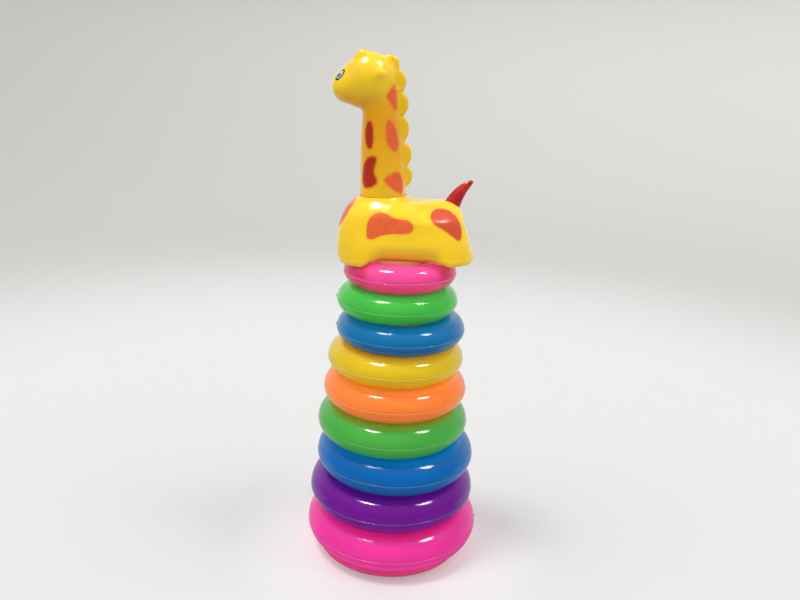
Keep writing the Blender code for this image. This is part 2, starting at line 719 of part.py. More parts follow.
def main():
    clear()
    rose = plastic("rose_plastic", rgb=(0.60, 0.06, 0.17), roughness=0.35)
    yellow = plastic("yellow_plastic", rgb=(0.93, 0.62, 0.04), roughness=0.3)
    red = plastic("red_plastic", rgb=(0.55, 0.02, 0.03), roughness=0.3)
    eye_print = plastic("eye_print", rgb=(0.02, 0.02, 0.03), roughness=0.2)
    build_foot(rose)
    build_post_lower(rose)
    build_post_upper(rose)
    for k, (_, _, colour) in enumerate(RINGS, 1):
        build_ring(k, plastic(f"ring_{k}_plastic", rgb=colour, roughness=0.18))
    root = build_root()
    build_body_shell(yellow, root)
    build_belly_plate(yellow, root)
    build_tail(red, root)
    build_neck(yellow, root)
    build_eye("giraffe_eye_near", -1, eye_print, root)
    build_eye("giraffe_eye_far", 1, eye_print, root)
    bpy.context.view_layer.update()


main()
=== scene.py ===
"""A stacking toy: nine rings on a tapered post with a disc foot, and a giraffe on top.

Pieces are built in millimetres, +Z up: the post stands on the Z axis, the foot's underside is at
z = 0, the giraffe faces -X and the camera looks along +Y. Ring 1 is the top ring. Places and
outer sizes come from the boxes of the CAD pieces.
"""

import math
from collections import namedtuple
from functools import cached_property, reduce

import bpy
import numpy as np
from mathutils import Matrix, Vector


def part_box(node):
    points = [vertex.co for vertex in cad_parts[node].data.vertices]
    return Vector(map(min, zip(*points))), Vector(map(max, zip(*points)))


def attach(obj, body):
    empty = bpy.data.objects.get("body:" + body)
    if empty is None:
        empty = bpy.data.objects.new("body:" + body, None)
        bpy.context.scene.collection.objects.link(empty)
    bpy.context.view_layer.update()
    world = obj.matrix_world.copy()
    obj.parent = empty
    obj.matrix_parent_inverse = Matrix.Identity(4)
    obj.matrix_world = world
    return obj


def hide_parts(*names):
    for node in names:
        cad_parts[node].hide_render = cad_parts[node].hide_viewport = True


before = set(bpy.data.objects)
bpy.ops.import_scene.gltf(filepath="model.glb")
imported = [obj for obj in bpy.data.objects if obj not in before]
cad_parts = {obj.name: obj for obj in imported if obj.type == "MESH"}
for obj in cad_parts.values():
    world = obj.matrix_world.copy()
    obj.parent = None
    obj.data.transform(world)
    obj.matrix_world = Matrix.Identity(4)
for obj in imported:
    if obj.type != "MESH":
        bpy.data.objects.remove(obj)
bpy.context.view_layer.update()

MM = 0.001
TAU = 2 * math.pi


# ---------------------------------------------------------------- sizes from the CAD
def box_mm(node):
    low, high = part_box(node)
    return np.array(low) / MM, np.array(high) / MM


SEAM = 0.15  # half of the gap between a ring's two shells
SECTION_RATIO = 1.09  # radial half width of a ring's section over its half height
RING_WALL = 1.8

Ring = namedtuple("Ring", "x parting radius half_height")


def measure_ring(k):
    """Centre x, height of the parting line, outer radius and half height of ring k."""
    low, high = box_mm(f"ring_{k}_upper_shell")
    parting = low[2] - SEAM
    return Ring((low[0] + high[0]) / 2, parting, (high[0] - low[0]) / 2, high[2] - parting)


TOP_RING = measure_ring(1)
COLLAR_Z = box_mm("giraffe_belly_plate")[0][2]  # lowest point of the belly plate
PLATE_Z = COLLAR_Z
if PLATE_Z < TOP_RING.parting + TOP_RING.half_height:
    # the plate's collar reaches down into the top ring's bore
    PLATE_Z = TOP_RING.parting + TOP_RING.half_height + 0.3
SHOULDER = PLATE_Z + 38.0
NECK_X = -12.0

JOINT = 0.3  # gap between two stacked pieces of the stand
LOWER_TUBE = box_mm("post_lower_tube")
UPPER_TUBE = box_mm("post_upper_tube")


def post_radius(z):
    """Radius at height z of the cone through the two tubes' boxes."""
    (low, high), (upper_low, upper_high) = LOWER_TUBE, UPPER_TUBE
    wide = (high[0] - low[0]) / 2
    narrow = (upper_high[0] - upper_low[0]) / 2
    return wide + (narrow - wide) * (z - low[2]) / (high[2] + JOINT - low[2])


# ---------------------------------------------------------------- curves and outlines
def smooth(t, start, end):
    t = np.clip((np.asarray(t, float) - start) / (end - start), 0, 1)
    return t * t * (3 - 2 * t)


def monotone(xs, ys, x):
    """Monotone cubic through the points (xs, ys)."""
    xs, ys, x = np.asarray(xs, float), np.asarray(ys, float), np.asarray(x, float)
    gap = np.diff(xs)
    slope = np.diff(ys) / gap
    tangent = np.zeros(len(xs))
    tangent[0], tangent[-1] = slope[0], slope[-1]
    same_way = slope[:-1] * slope[1:] > 0
    before, after = 2 * gap[1:] + gap[:-1], gap[1:] + 2 * gap[:-1]
    with np.errstate(divide="ignore", invalid="ignore"):
        inner = (before + after) / (before / slope[:-1] + after / slope[1:])
    tangent[1:-1] = np.where(same_way, inner, 0.0)
    i = np.clip(np.searchsorted(xs, x) - 1, 0, len(gap) - 1)
    s = np.clip((x - xs[i]) / gap[i], 0, 1)
    return (
        ys[i] * (1 + 2 * s) * (1 - s) ** 2
        + tangent[i] * gap[i] * s * (1 - s) ** 2
        + ys[i + 1] * s * s * (3 - 2 * s)
        + tangent[i + 1] * gap[i] * s * s * (s - 1)
    )


def rounded(points):
    """Cuts the corners of a closed outline twice, so that it turns smoothly."""
    p = np.asarray(points, float)
    for _ in range(2):
        following = np.roll(p, -1, 0)
        pair = [0.75 * p + 0.25 * following, 0.25 * p + 0.75 * following]
        p = np.stack(pair, 1).reshape(-1, 2)
    return p


def outline_distance(x, y, outline):
    """Signed distance to a closed outline, negative inside."""
    best = np.full(x.shape, 1e9)
    inside = np.zeros(x.shape, bool)
    for (ax, ay), (bx, by) in zip(outline, np.roll(outline, -1, 0)):
        edge_x, edge_y = bx - ax, by - ay
        from_x, from_y = x - ax, y - ay
        length2 = max(edge_x * edge_x + edge_y * edge_y, 1e-12)
        t = np.clip((from_x * edge_x + from_y * edge_y) / length2, 0, 1)
        best = np.minimum(best, (from_x - edge_x * t) ** 2 + (from_y - edge_y * t) ** 2)
        crosses = (ay > y) != (by > y)
        crossing_x = ax + (y - ay) * edge_x / (1e-12 if abs(edge_y) < 1e-12 else edge_y)
        inside ^= crosses & (x < crossing_x)
    return np.where(inside, -1, 1) * np.sqrt(best)


# ---------------------------------------------------------------- meshes
def signed_volume(verts, faces):
    quads = np.array([f for f in faces if len(f) == 4], int).reshape(-1, 4)
    triangles = np.array([f for f in faces if len(f) == 3], int).reshape(-1, 3)
    total = 0.0
    for t in (triangles, quads[:, [0, 1, 2]], quads[:, [0, 2, 3]]):
        normals = np.cross(verts[t[:, 1]], verts[t[:, 2]])
        total += np.einsum("ij,ij->i", verts[t[:, 0]], normals).sum()
    return total / 6


def solid(name, verts, faces, body, node, material, sharp=50, attributes=None):
    """A closed piece in millimetres that stands for a CAD node and rides on a body."""
    verts = np.asarray(verts, float)
    faces = [tuple(int(i) for i in f) for f in faces]
    if signed_volume(verts, faces) < 0:
        faces = [f[::-1] for f in faces]
    mesh = bpy.data.meshes.new(name)
    mesh.from_pydata((verts * MM).tolist(), [], faces)
    mesh.update()
    mesh.shade_smooth()
    if sharp:
        mesh.set_sharp_from_angle(angle=math.radians(sharp))
    for key, values in (attributes or {}).items():
        attribute = mesh.attributes.new(key, "FLOAT", "POINT")
        attribute.data.foreach_set("value", np.asarray(values, np.float32))
    ob = bpy.data.objects.new(name, mesh)
    bpy.context.scene.collection.objects.link(ob)
    mesh.materials.append(material)
    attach(ob, body)
    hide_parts(node)


def grid_faces(rows, cols, close_rows=True):
    """Quads between rows of points; each row is a closed loop."""
    faces = []
    for i in range(rows if close_rows else rows - 1):
        a, b = i * cols, ((i + 1) % rows) * cols
        for j in range(cols):
            k = (j + 1) % cols
            faces.append((a + j, a + k, b + k, b + j))
    return faces


def capped_tube(loops, first, last):
    """Verts and faces of a row of loops closed by a fan to a point at each end."""
    rows, cols = len(loops), len(loops[0])
    a = rows * cols
    base = a - cols
    faces = grid_faces(rows, cols, close_rows=False)
    faces += [(a, (j + 1) % cols, j) for j in range(cols)]
    faces += [(a + 1, base + j, base + (j + 1) % cols) for j in range(cols)]
    return np.vstack([*loops, first, last]), faces


def turned_points(profile, angles, centre=(0, 0, 0), swell=None):
    """Points of an (r, z) profile turned about a vertical axis.

    swell(angle, r, z) is added to the radius.
    """
    r, z = np.asarray(profile, float).T
    angle, radius = np.meshgrid(angles, r)
    height = np.repeat(z[:, None], len(angles), 1)
    if swell is not None:
        radius = radius + swell(angle, radius, height)
    x = centre[0] + radius * np.cos(angle)
    y = centre[1] + radius * np.sin(angle)
    return np.stack([x, y, centre[2] + height], -1).reshape(-1, 3)


def turned_with_poles(profile, angles, close_rows):
    """Verts and faces of a turned profile; its rows of radius 0 become single points."""
    points, cols = turned_points(profile, angles), len(angles)
    index = np.arange(len(points))
    for i, (r, _) in enumerate(profile):
        if r == 0.0:
            index[i * cols : (i + 1) * cols] = i * cols
    faces = []
    for face in grid_faces(len(profile), cols, close_rows):
        corners = list(dict.fromkeys(int(index[i]) for i in face))
        if len(corners) >= 3:
            faces.append(corners)
    # a closed profile keeps the order of its points, an open one is numbered face by face
    used = list(dict.fromkeys(i for face in faces for i in face))
    if close_rows:
        used.sort()
    renumber = {old: new for new, old in enumerate(used)}
    return points[used], [tuple(renumber[i] for i in face) for face in faces]


def around(count, extra=()):
    """Evenly spaced angles round a circle, with the extra ones merged in."""
    angles = list(np.arange(count) * TAU / count) + list(extra)
    angles = np.unique(np.round(np.mod(angles, TAU), 5))
    kept = [angles[0]]
    for angle in angles[1:]:
        if angle - kept[-1] > 0.0015:
            kept.append(angle)
    return np.array(kept)


# ---------------------------------------------------------------- node graphs
class Graph:
    """Short-hand for the nodes of a material or a world. Shader lengths are in metres."""

    def __init__(self, owner):
        owner.use_nodes = True
        self.owner = owner
        self.tree = owner.node_tree

    @property
    def bsdf(self):
        return self.tree.nodes["Principled BSDF"]

    def node(self, kind, **props):
        node = self.tree.nodes.new(kind)
        for key, value in props.items():
            setattr(node, key, value)
        return node

    def put(self, socket, value):
        if hasattr(value, "is_output"):
            self.tree.links.new(value, socket)
        elif isinstance(value, (tuple, list)) and len(value) == 3 and socket.type == "RGBA":
            socket.default_value = (*value, 1.0)
        else:
            socket.default_value = value

    def fill(self, node, values):
        for socket, value in zip(node.inputs, values):
            self.put(socket, value)
        return node.outputs[0]

    def math(self, op, a, b=0.0, c=0.0):
        return self.fill(self.node("ShaderNodeMath", operation=op), (a, b, c))

    def hypot(self, a, b):
        squares = [self.math("MULTIPLY", side, side) for side in (a, b)]
        return self.math("SQRT", self.math("ADD", *squares))

    @cached_property
    def place(self):
        return self.node("ShaderNodeTexCoord").outputs["Object"]

    @cached_property
    def xyz(self):
        node = self.node("ShaderNodeSeparateXYZ")
        self.put(node.inputs[0], self.place)
        return node.outputs

    @property
    def is_glossy(self):
        return self.node("ShaderNodeLightPath").outputs["Is Glossy Ray"]

    def attribute(self, name):
        return self.node("ShaderNodeAttribute", attribute_name=name).outputs["Fac"]

    def noise(self, scale, detail=2.0, rough=0.5):
        node = self.node("ShaderNodeTexNoise")
        self.put(node.inputs["Vector"], self.place)
        node.inputs["Scale"].default_value = scale
        node.inputs["Detail"].default_value = detail
        node.inputs["Roughness"].default_value = rough
        return node.outputs[0]

    def ramp(self, value, span, to=(0.0, 1.0), kind="SMOOTHSTEP"):
        """Maps the span of a value, which may run downward, onto another."""
        node = self.node("ShaderNodeMapRange", interpolation_type=kind)
        return self.fill(node, (value, *span, *to))

    def mottle(self, scale, detail=2.0, rough=0.5, to=(0.0, 1.0)):
        """Noise stretched so that it fills its range."""
        return self.ramp(self.noise(scale, detail, rough), span=(0.3, 0.7), to=to)

    def mix(self, factor, a, b, blend="MIX"):
        node = self.node("ShaderNodeMix", data_type="RGBA", blend_type=blend)
        node.clamp_factor = True
        self.put(node.inputs[0], factor)
        self.put(node.inputs[6], a)
        self.put(node.inputs[7], b)
        return node.outputs[2]

    def multiply(self, a, b):
        return self.mix(1.0, a, b, blend="MULTIPLY")

    def bump(self, height, strength, distance, normal=None):
        node = self.node("ShaderNodeBump")
        node.inputs["Strength"].default_value = strength
        node.inputs["Distance"].default_value = distance
        self.put(node.inputs["Height"], height)
        if normal is not None:
            self.put(node.inputs["Normal"], normal)
        return node.outputs[0]

    def finish(self, normal):
        self.put(self.bsdf.inputs["Normal"], normal)
        return self.owner


def material_graph(name):
    return Graph(bpy.data.materials.new(name))


def tinted(rgb, factor):
    return tuple(min(1.0, c * factor) for c in rgb)


def moulded(g, colour, rough, gloss, under, under_radius=(1.0, 0.3, 0.12), wave=0.05, grain=0.05):
    """Glossy moulded plastic: drifting pigment, uneven polish, flow waves and a fine grain.

    under is the share of light that wanders inside; wave and grain are bump strengths.
    Returns the normal.
    """
    if isinstance(colour, tuple):
        drift = g.mottle(scale=28.0, detail=3.0, rough=0.55)
        base = g.mix(drift, tinted(colour, 0.93), tinted(colour, 1.06))
    else:
        drift = g.mottle(scale=28.0, detail=3.0, rough=0.55, to=(0.0, 0.07))
        base = g.mix(drift, colour, (0.0, 0.0, 0.0))
    inputs = g.bsdf.inputs
    g.put(inputs["Base Color"], base)
    polish = g.noise(scale=95.0, detail=4.0, rough=0.6)
    polish = g.ramp(polish, span=(0.3, 0.75), to=(rough - 0.015, rough + 0.025))
    rub = g.math("MULTIPLY", g.noise(scale=620.0), 0.02)
    g.put(inputs["Roughness"], g.math("ADD", polish, rub))
    inputs["IOR"].default_value = 1.5
    inputs["Specular IOR Level"].default_value = gloss
    inputs["Subsurface Weight"].default_value = under
    inputs["Subsurface Radius"].default_value = under_radius
    inputs["Subsurface Scale"].default_value = 0.004
    waves = g.bump(g.noise(scale=70.0), strength=wave, distance=0.0012)
    fine = g.noise(scale=2600.0, rough=0.6)
    return g.bump(fine, strength=grain, distance=0.00008, normal=waves)


# ---------------------------------------------------------------- ring colours, top ring first
RING_COLOURS = (
    (0.800, 0.072, 0.290),
    (0.058, 0.465, 0.062),
    (0.006, 0.156, 0.368),
    (0.660, 0.462, 0.014),
    (0.875, 0.222, 0.041),
    (0.065, 0.362, 0.055),
    (0.002, 0.118, 0.390),
    (0.140, 0.006, 0.245),
    (0.715, 0.034, 0.295),
)
# painted light and bounce colour: each ring's tint close under the one above, which lifts and
# colours the shade in the groove
GROOVE_LIGHT_TINTS = (
    (0.800, 0.072, 0.290),
    (0.085, 0.560, 0.095),
    (0.008, 0.200, 0.425),
    (0.780, 0.420, 0.024),
    (0.980, 0.320, 0.050),
    (0.220, 0.360, 0.032),
    (0.004, 0.195, 0.570),
    (0.090, 0.007, 0.255),
    (0.830, 0.022, 0.250),
)
# painted light and shade: the tint of each ring on its underside, as the light falls on it there
UNDERSIDE_LIGHT_TINTS = (
    (0.950, 0.064, 0.200),
    (0.046, 0.465, 0.045),
    (0.004, 0.125, 0.300),
    (0.780, 0.440, 0.012),
    (0.985, 0.225, 0.052),
    (0.047, 0.370, 0.053),
    (0.003, 0.105, 0.360),
    (0.180, 0.009, 0.290),
    (0.910, 0.054, 0.365),
)
# the top ring beside the giraffe's legs, shaded and warmed by their yellow
BESIDE_LEGS = (0.600, 0.036, 0.112)


def ring_material(k):
    g = material_graph(f"ring_{k}_plastic_fine")
    plain = RING_COLOURS[k - 1]
    # painted light in the groove under the ring above
    colour = g.mix(g.attribute("high"), plain, GROOVE_LIGHT_TINTS[k - 1])
    # painted light and shade on the underside
    colour = g.mix(g.attribute("low"), colour, UNDERSIDE_LIGHT_TINTS[k - 1])
    if k == 1:
        colour = g.mix(g.attribute("beside"), colour, BESIDE_LEGS)
    # painted highlight: the lip of the lower shell is painted lighter, where it catches the light
    colour = g.mix(g.attribute("seam"), colour, tuple(0.93 * c + 0.04 for c in plain))
    # light of each colour wanders farther the brighter it is in the plastic
    reach = tuple(0.25 + 0.75 * c**0.5 for c in plain)
    return g.finish(
        moulded(g, colour, rough=0.12, gloss=0.34, under=0.55, under_radius=reach,
                wave=0.03, grain=0.03)
    )


# ---------------------------------------------------------------- rings
# where each ring's moulding gate leaves a small nub on the parting line, degrees round from +X
GATES = (250, 180, 180, 118, 64, 300, 95, 140, 0)
NUB_REACH = 1.1  # along the rim
NUB_MARGIN = 3.2  # half width of the finely divided stretch round a nub
SKIRT = 1.9  # height of the straight band under the parting line
LIP = 1.7  # height where the upper shell's lip runs into the crown
HEEL = 0.75  # height where the round face runs into the bore's heel


def section_radius(ring, z):
    """Radius of the outer face at a height above or below the parting line."""
    width = SECTION_RATIO * ring.half_height
    return ring.radius - width + width * math.sqrt(max(0.0, 1 - (z / ring.half_height) ** 2))


def shell_wall(ring, side, start, inner_end, inner_steps):
    """Profile over the round face, round the bore's heel and back along the inside.

    side is 1 for the upper shell and -1 for the lower one.
    """
    height = ring.half_height
    width = SECTION_RATIO * height
    middle = ring.radius - width
    bore = middle - width
    face = [
        (middle + width * math.cos(t), side * height * math.sin(t))
        for t in np.linspace(start, math.pi - math.asin(HEEL / height), 44)
    ]
    heel = [(bore + 0.06, side * 0.38), (bore + 0.22, side * 0.18), (bore + 0.6, side * SEAM)]
    inside = [
        (
            middle + (width - RING_WALL) * math.cos(t),
            side * max(SEAM, (height - RING_WALL) * math.sin(t)),
        )
        for t in np.linspace(math.pi, inner_end, inner_steps)
    ]
    return face + heel + inside


def upper_profile(ring):
    radius = ring.radius
    lip = [
        (radius - 0.55, 0.04),
        (radius - 0.06, 0.03),
        (radius - 0.01, 0.10),
        (radius, 0.30),
        (section_radius(ring, 0.8), 0.8),
        (section_radius(ring, 1.25), 1.25),
    ]
    start = math.asin(LIP / ring.half_height)
    return lip + shell_wall(ring, 1, start, inner_end=0, inner_steps=25)


def lower_profile(ring):
    """Skirt, a fine step, the round belly, and a tongue that stands up inside the upper shell."""
    radius, height = ring.radius, ring.half_height
    step = section_radius(ring, SKIRT)
    skirt = [
        (radius - 0.60, -0.04),
        (radius - 0.02, -0.03),
        (radius + 0.10, -0.08),
        (radius + 0.16, -0.20),
        (radius + 0.15, -0.50),
        (radius + 0.06, -1.00),
        (step + 0.01, -SKIRT + 0.28),
        (step, -SKIRT + 0.10),
        (step + 0.07, -SKIRT + 0.01),
        (step + 0.08, -SKIRT - 0.12),
    ]
    start = math.asin(min(1.0, (SKIRT + 0.35) / height))
    wall = shell_wall(ring, -1, start, inner_end=math.radians(40), inner_steps=21)
    # the tongue leans inward, clear of the upper shell's curved inside
    inner_ratio = (SECTION_RATIO * height - RING_WALL) / (height - RING_WALL)
    lean = 0.15 + (2.0 + SEAM) * 0.5 * inner_ratio / math.sin(math.radians(60))
    inner = radius - RING_WALL
    tip = inner - 0.3 - lean
    tongue = [
        (inner - 1.3, -height * 0.42),
        (inner - 1.35, -0.6),
        (tip - 0.95, 1.7),
        (tip - 0.75, 1.95),
        (tip - 0.25, 1.95),
        (tip, 1.7),
        (inner - 0.35, -SEAM),
    ]
    return skirt + wall + tongue


def gate_nub(ring, gate, height, keep_low=False):
    """Swell of the nub; keep_low keeps it off points above the parting line."""

    def swell(angle, r, z):
        along = (np.mod(angle - gate + math.pi, TAU) - math.pi) * ring.radius
        outside = smooth(r, ring.radius - 2.0, ring.radius - 0.6)
        if keep_low:
            outside = outside * smooth(-z, -0.5, 0.0)
        return height * np.exp(-((along / NUB_REACH) ** 2)) * np.exp(-(z**2)) * outside

    return swell


def ring_tints(ring, profile, points, cols):
    """Masks for painted light and shade: toward the ring above, on the underside, beside the
    legs.
    """
    z = np.repeat([p[1] / ring.half_height for p in profile], cols)
    x, y = points[:, :2].T
    ends = np.maximum(smooth(ring.x - x, 17.5, 24.5), smooth(x - ring.x, 22.0, 29.0))
    return {
        "high": smooth(z, 0.80, 0.97),
        "low": smooth(-z, 0.10, 0.42),
        "beside": 0.9 * ends * smooth(abs(y), 1.0, 10.0),
    }


def build_ring(k):
    ring = measure_ring(k)
    material = ring_material(k)
    gate = math.radians(GATES[k - 1])
    margin = NUB_MARGIN / ring.radius
    angles = around(132, extra=gate + np.linspace(-margin, margin, 15))
    cols = len(angles)

    def shell(name, node, profile, nub, attributes):
        points = turned_points(profile, angles, (ring.x, 0, ring.parting), nub)
        attributes.update(ring_tints(ring, profile, points, cols))
        faces = grid_faces(len(profile), cols)
        solid(f"ring_{k}_{name}", points, faces, f"ring_{k}", f"ring_{k}_{node}", material,
              attributes=attributes)

    shell("crown_shell", "upper_shell", upper_profile(ring), gate_nub(ring, gate, 0.85), {})
    profile = lower_profile(ring)
    # the first five points of the lower profile are its lip, painted lighter as a highlight
    seam = np.repeat([0.4, 1.0, 1.0, 1.0, 1.0] + [0.0] * (len(profile) - 5), cols)
    nub = gate_nub(ring, gate, 0.75, keep_low=True)
    shell("base_shell", "lower_shell", profile, nub, {"seam": seam})


# ---------------------------------------------------------------- foot and post
ROSE = (0.680, 0.060, 0.190)
POST_WALL = 2.0
EDGE = 0.3  # chamfer on the tubes' ends
PLUG_INSET = 2.45  # how far the upper tube's plug lies inside the cone
DOME = 6.0  # height of the post's round top


def rose_material():
    g = material_graph("rose_plastic_fine")
    reach = (1.0, 0.4, 0.6)
    return g.finish(moulded(g, ROSE, rough=0.24, gloss=0.30, under=0.3, under_radius=reach))


def build_foot(material):
    low, high = box_mm("foot_disc")
    radius = (high[0] - low[0]) / 2
    top = LOWER_TUBE[0][2] - JOINT
    spigot_top = high[2]
    spigot = post_radius(top) - 3.2  # outer radius of the hollow spigot inside the post
    profile = [
        (0.0, 0.0),
        (radius - 9.0, 0.0),
        (radius - 2.0, 0.0),
        (radius - 1.2, 0.12),
        (radius - 0.5, 0.5),
        (radius - 0.1, 1.1),
        (radius, 1.7),
        (radius - 0.08, top - 0.95),
        (radius - 0.35, top - 0.42),
        (radius - 0.85, top - 0.10),
        (radius - 1.5, top),
        (radius - 6.0, top),
        (post_radius(top) + 3.0, top),
        (spigot + 0.5, top),
        (spigot + 0.12, top + 0.15),
        (spigot, top + 0.6),
        (spigot - 0.55, spigot_top - 0.6),
        (spigot - 0.85, spigot_top - 0.1),
        (spigot - 1.3, spigot_top),
        (spigot - 2.2, spigot_top),
        (spigot - 2.6, spigot_top - 0.4),
        (spigot - 2.7, top + 0.5),
        (spigot - 3.2, top),
        (0.0, top),
    ]
    points, faces = turned_with_poles(profile, around(144), close_rows=False)
    solid("foot_disc_fine", points, faces, "stand", "foot_disc", material)


def build_lower_tube(material, angles):
    low, high = LOWER_TUBE[0][2], LOWER_TUBE[1][2]
    profile = [
        (post_radius(low) - EDGE, low),
        (post_radius(low), low + EDGE),
        *((post_radius(low + rise), low + rise) for rise in (25, 50, 80)),
        (post_radius(high), high - 0.35),
        (post_radius(high) - EDGE, high),
        (post_radius(high) - POST_WALL + EDGE, high),
        (post_radius(high) - POST_WALL, high - EDGE),
        (post_radius(low + 50) - POST_WALL, low + 50),
        (post_radius(low) - POST_WALL, low + EDGE),
        (post_radius(low) - POST_WALL + EDGE, low),
    ]
    points = turned_points(profile, angles)
    faces = grid_faces(len(profile), len(angles))
    solid("post_lower_tube_fine", points, faces, "stand", "post_lower_tube", material)


def build_upper_tube(material, angles):
    """Upper tube: a plug that enters the lower tube, the cone, and a domed top."""
    plug, top = UPPER_TUBE[0][2], UPPER_TUBE[1][2]
    seat = LOWER_TUBE[1][2] + JOINT
    dome = top - DOME
    radius = post_radius(dome)
    profile = [
        (post_radius(plug) - PLUG_INSET - 0.3, plug),
        (post_radius(plug) - PLUG_INSET, plug + 0.4),
        (post_radius(seat) - PLUG_INSET, seat - 0.05),
        (post_radius(seat) - 0.35, seat),
        (post_radius(seat), seat + 0.35),
        *((post_radius(seat + rise), seat + rise) for rise in (30, 60, 90)),
    ]
    for t in np.linspace(0, math.radians(86), 16):
        profile.append((radius * math.cos(t), dome + DOME * math.sin(t)))
    profile += [(0.0, top), (0.0, top - POST_WALL)]
    for t in np.linspace(math.radians(85), 0, 14):
        profile.append(((radius - POST_WALL) * math.cos(t), dome - 1.2 + 5.2 * math.sin(t)))
    for z in (seat, plug):
        profile.append((post_radius(z) - PLUG_INSET - POST_WALL, z))
    points, faces = turned_with_poles(profile, angles, close_rows=True)
    solid("post_upper_tube_fine", points, faces, "stand", "post_upper_tube", material)


def build_stand():
    material = rose_material()
    build_foot(material)
    angles = around(96)
    build_lower_tube(material, angles)
    build_upper_tube(material, angles)


# ---------------------------------------------------------------- giraffe: body surface
# height over the belly plate, front x, rear x, half width, squareness of the outline
BODY_STATIONS = np.array(
    (
        (0.0, -40.6, 48.5, 29.5, 2.7),
        (7.0, -40.9, 46.4, 28.6, 2.7),
        (19.0, -39.8, 42.8, 26.2, 2.6),
        (29.0, -36.4, 39.4, 24.2, 2.45),
        (33.4, -33.2, 36.2, 21.2, 2.3),
        (35.7, -30.6, 31.6, 18.8, 2.2),
        (36.3, -29.6, 14.0, 17.3, 2.1),
    )
)
BODY_POINTS = 220  # points round each loop
BODY_MIDDLE = 4.0  # x midway between the front and rear legs
ARCH_RISE = 1.0  # rise of the lower edge between the legs
FRONT_DROP, REAR_DROP = 2.9, 1.0  # how far the legs reach under the plate
TUCK = 7.0  # how far the flanks are drawn in between the legs
BODY_WALL = 2.0
# inset and height of the loops that round the lower edge, from the inside out
LOWER_EDGE = (
    (1.97, 2.2), (1.94, 0.7), (1.80, 0.22), (1.55, 0.02), (1.25, 0.06),
    (0.92, 0.32), (0.60, 0.78), (0.33, 1.38), (0.14, 2.05), (0.04, 2.75),
)
# height, radius and lift of the fillet up to the neck's foot
NECK_FILLET = (
    (36.55, 16.95, 0.02), (36.85, 16.65, 0.10), (37.2, 16.3, 0.24),
    (37.55, 15.95, 0.44), (37.85, 15.65, 0.66), (38.1, 15.4, 0.86),
    (38.25, 15.22, 1.0), (38.27, 15.1, 1.0), (38.0, 15.04, 1.0),
)
# height and radius of the hole for the neck's plug
NECK_HOLE = ((38.0, 14.95), (38.0, 13.4), (37.95, 12.5), (37.7, 12.3), (36.4, 12.3), (36.0, 12.5))
# the top of the inside, in the columns of BODY_STATIONS
INNER_TOP = (
    (36.0, -25.6, 2.2, 13.6, 2.0),
    (35.6, -27.4, 16.0, 14.4, 2.1),
    (34.6, -30.4, 29.4, 15.6, 2.2),
    (31.0, -33.0, 34.6, 18.6, 2.4),
)
# running length along the stations, with the rear edge counting 0.7
_steps = np.diff(BODY_STATIONS[:, :4] * np.array((1.0, 1.0, 0.7, 1.0)), axis=0)
BODY_PATH = np.concatenate([[0], np.cumsum(np.sqrt((_steps**2).sum(1)))])


def body_station(t):
    return [float(monotone(BODY_PATH, BODY_STATIONS[:, i], t)) for i in range(5)]


def between_legs(x, y, half_width):
    """1 on the flanks' middle, 0 at the legs and on the middle plane."""
    flank = smooth(np.abs(y) / half_width, 0.15, 0.8)
    return (1 - smooth(np.abs(x - BODY_MIDDLE), 13.0, 26.0)) * flank


def body_loop(h, front, rear, half_width, squareness, inset=0.0, shaped=True):
    """Evenly spaced loop at height h; shaped adds legs, arch, tucked flanks and rear crest."""
    front, rear, half_width = front + inset, rear - inset, half_width - inset
    t = np.linspace(0, TAU, 1441)
    c, s = np.cos(t), np.sin(t)
    power = 2 / squareness
    x = (front + rear) / 2 + (rear - front) / 2 * np.sign(c) * np.abs(c) ** power
    y = half_width * np.sign(s) * np.abs(s) ** power
    if shaped:  # the top narrows toward the rear
        y = y * (1 - 0.5 * smooth(h, 25.0, 37.5) * smooth(x, -8.0, 28.0))
    run = np.concatenate([[0], np.cumsum(np.hypot(np.diff(x), np.diff(y)))])
    at = np.linspace(0, run[-1], BODY_POINTS + 1)[:-1]
    x, y = np.interp(at, run, x), np.interp(at, run, y)
    if not shaped:
        return np.stack([x, y, np.full(BODY_POINTS, PLATE_Z + h)], 1)
    leg = smooth(np.abs(x - BODY_MIDDLE), 21.0, 28.5) * smooth(np.abs(y), 8.0, 16.0)
    leg_drop = np.where(x < BODY_MIDDLE, FRONT_DROP, REAR_DROP)
    edge = (ARCH_RISE - (ARCH_RISE + leg_drop) * leg) * (1 - smooth(h, 0.0, 10.0))
    pull = TUCK * np.clip(1 - h / 12.5, 0, 1) ** 1.7 * between_legs(x, y, half_width)
    crest = smooth(h, 28.0, 36.0) * smooth(x, 10.0, 27.0)
    return np.stack([x, y - np.sign(y) * pull, PLATE_Z + h + edge + crest], 1)


def neck_circle(h, radius, stretch=0.0):
    """Loop round the neck's axis, stretched to the rear."""
    front, rear = NECK_X - radius, NECK_X + radius + stretch
    return body_loop(h, front, rear, radius, 2.0, shaped=False)


def raise_shoulder(loop):
    """Lifts the top of a loop onto a cone that falls away from the neck's foot."""
    top = loop[:, 2] - PLATE_Z
    out = np.hypot(loop[:, 0] - NECK_X, loop[:, 1])
    cone = 38.2 - 1.02 * (out - 15.1) - 0.20 * np.maximum(out - 19.5, 0) ** 2
    cone = np.where(out < 15.3, -9.0, cone)
    blend = np.clip(0.5 + 0.5 * (cone - top) / 1.4, 0, 1)
    raised = top * (1 - blend) + cone * blend + 1.4 * blend * (1 - blend)
    loop[:, 2] = PLATE_Z + np.where(top > 26.0, raised, top)


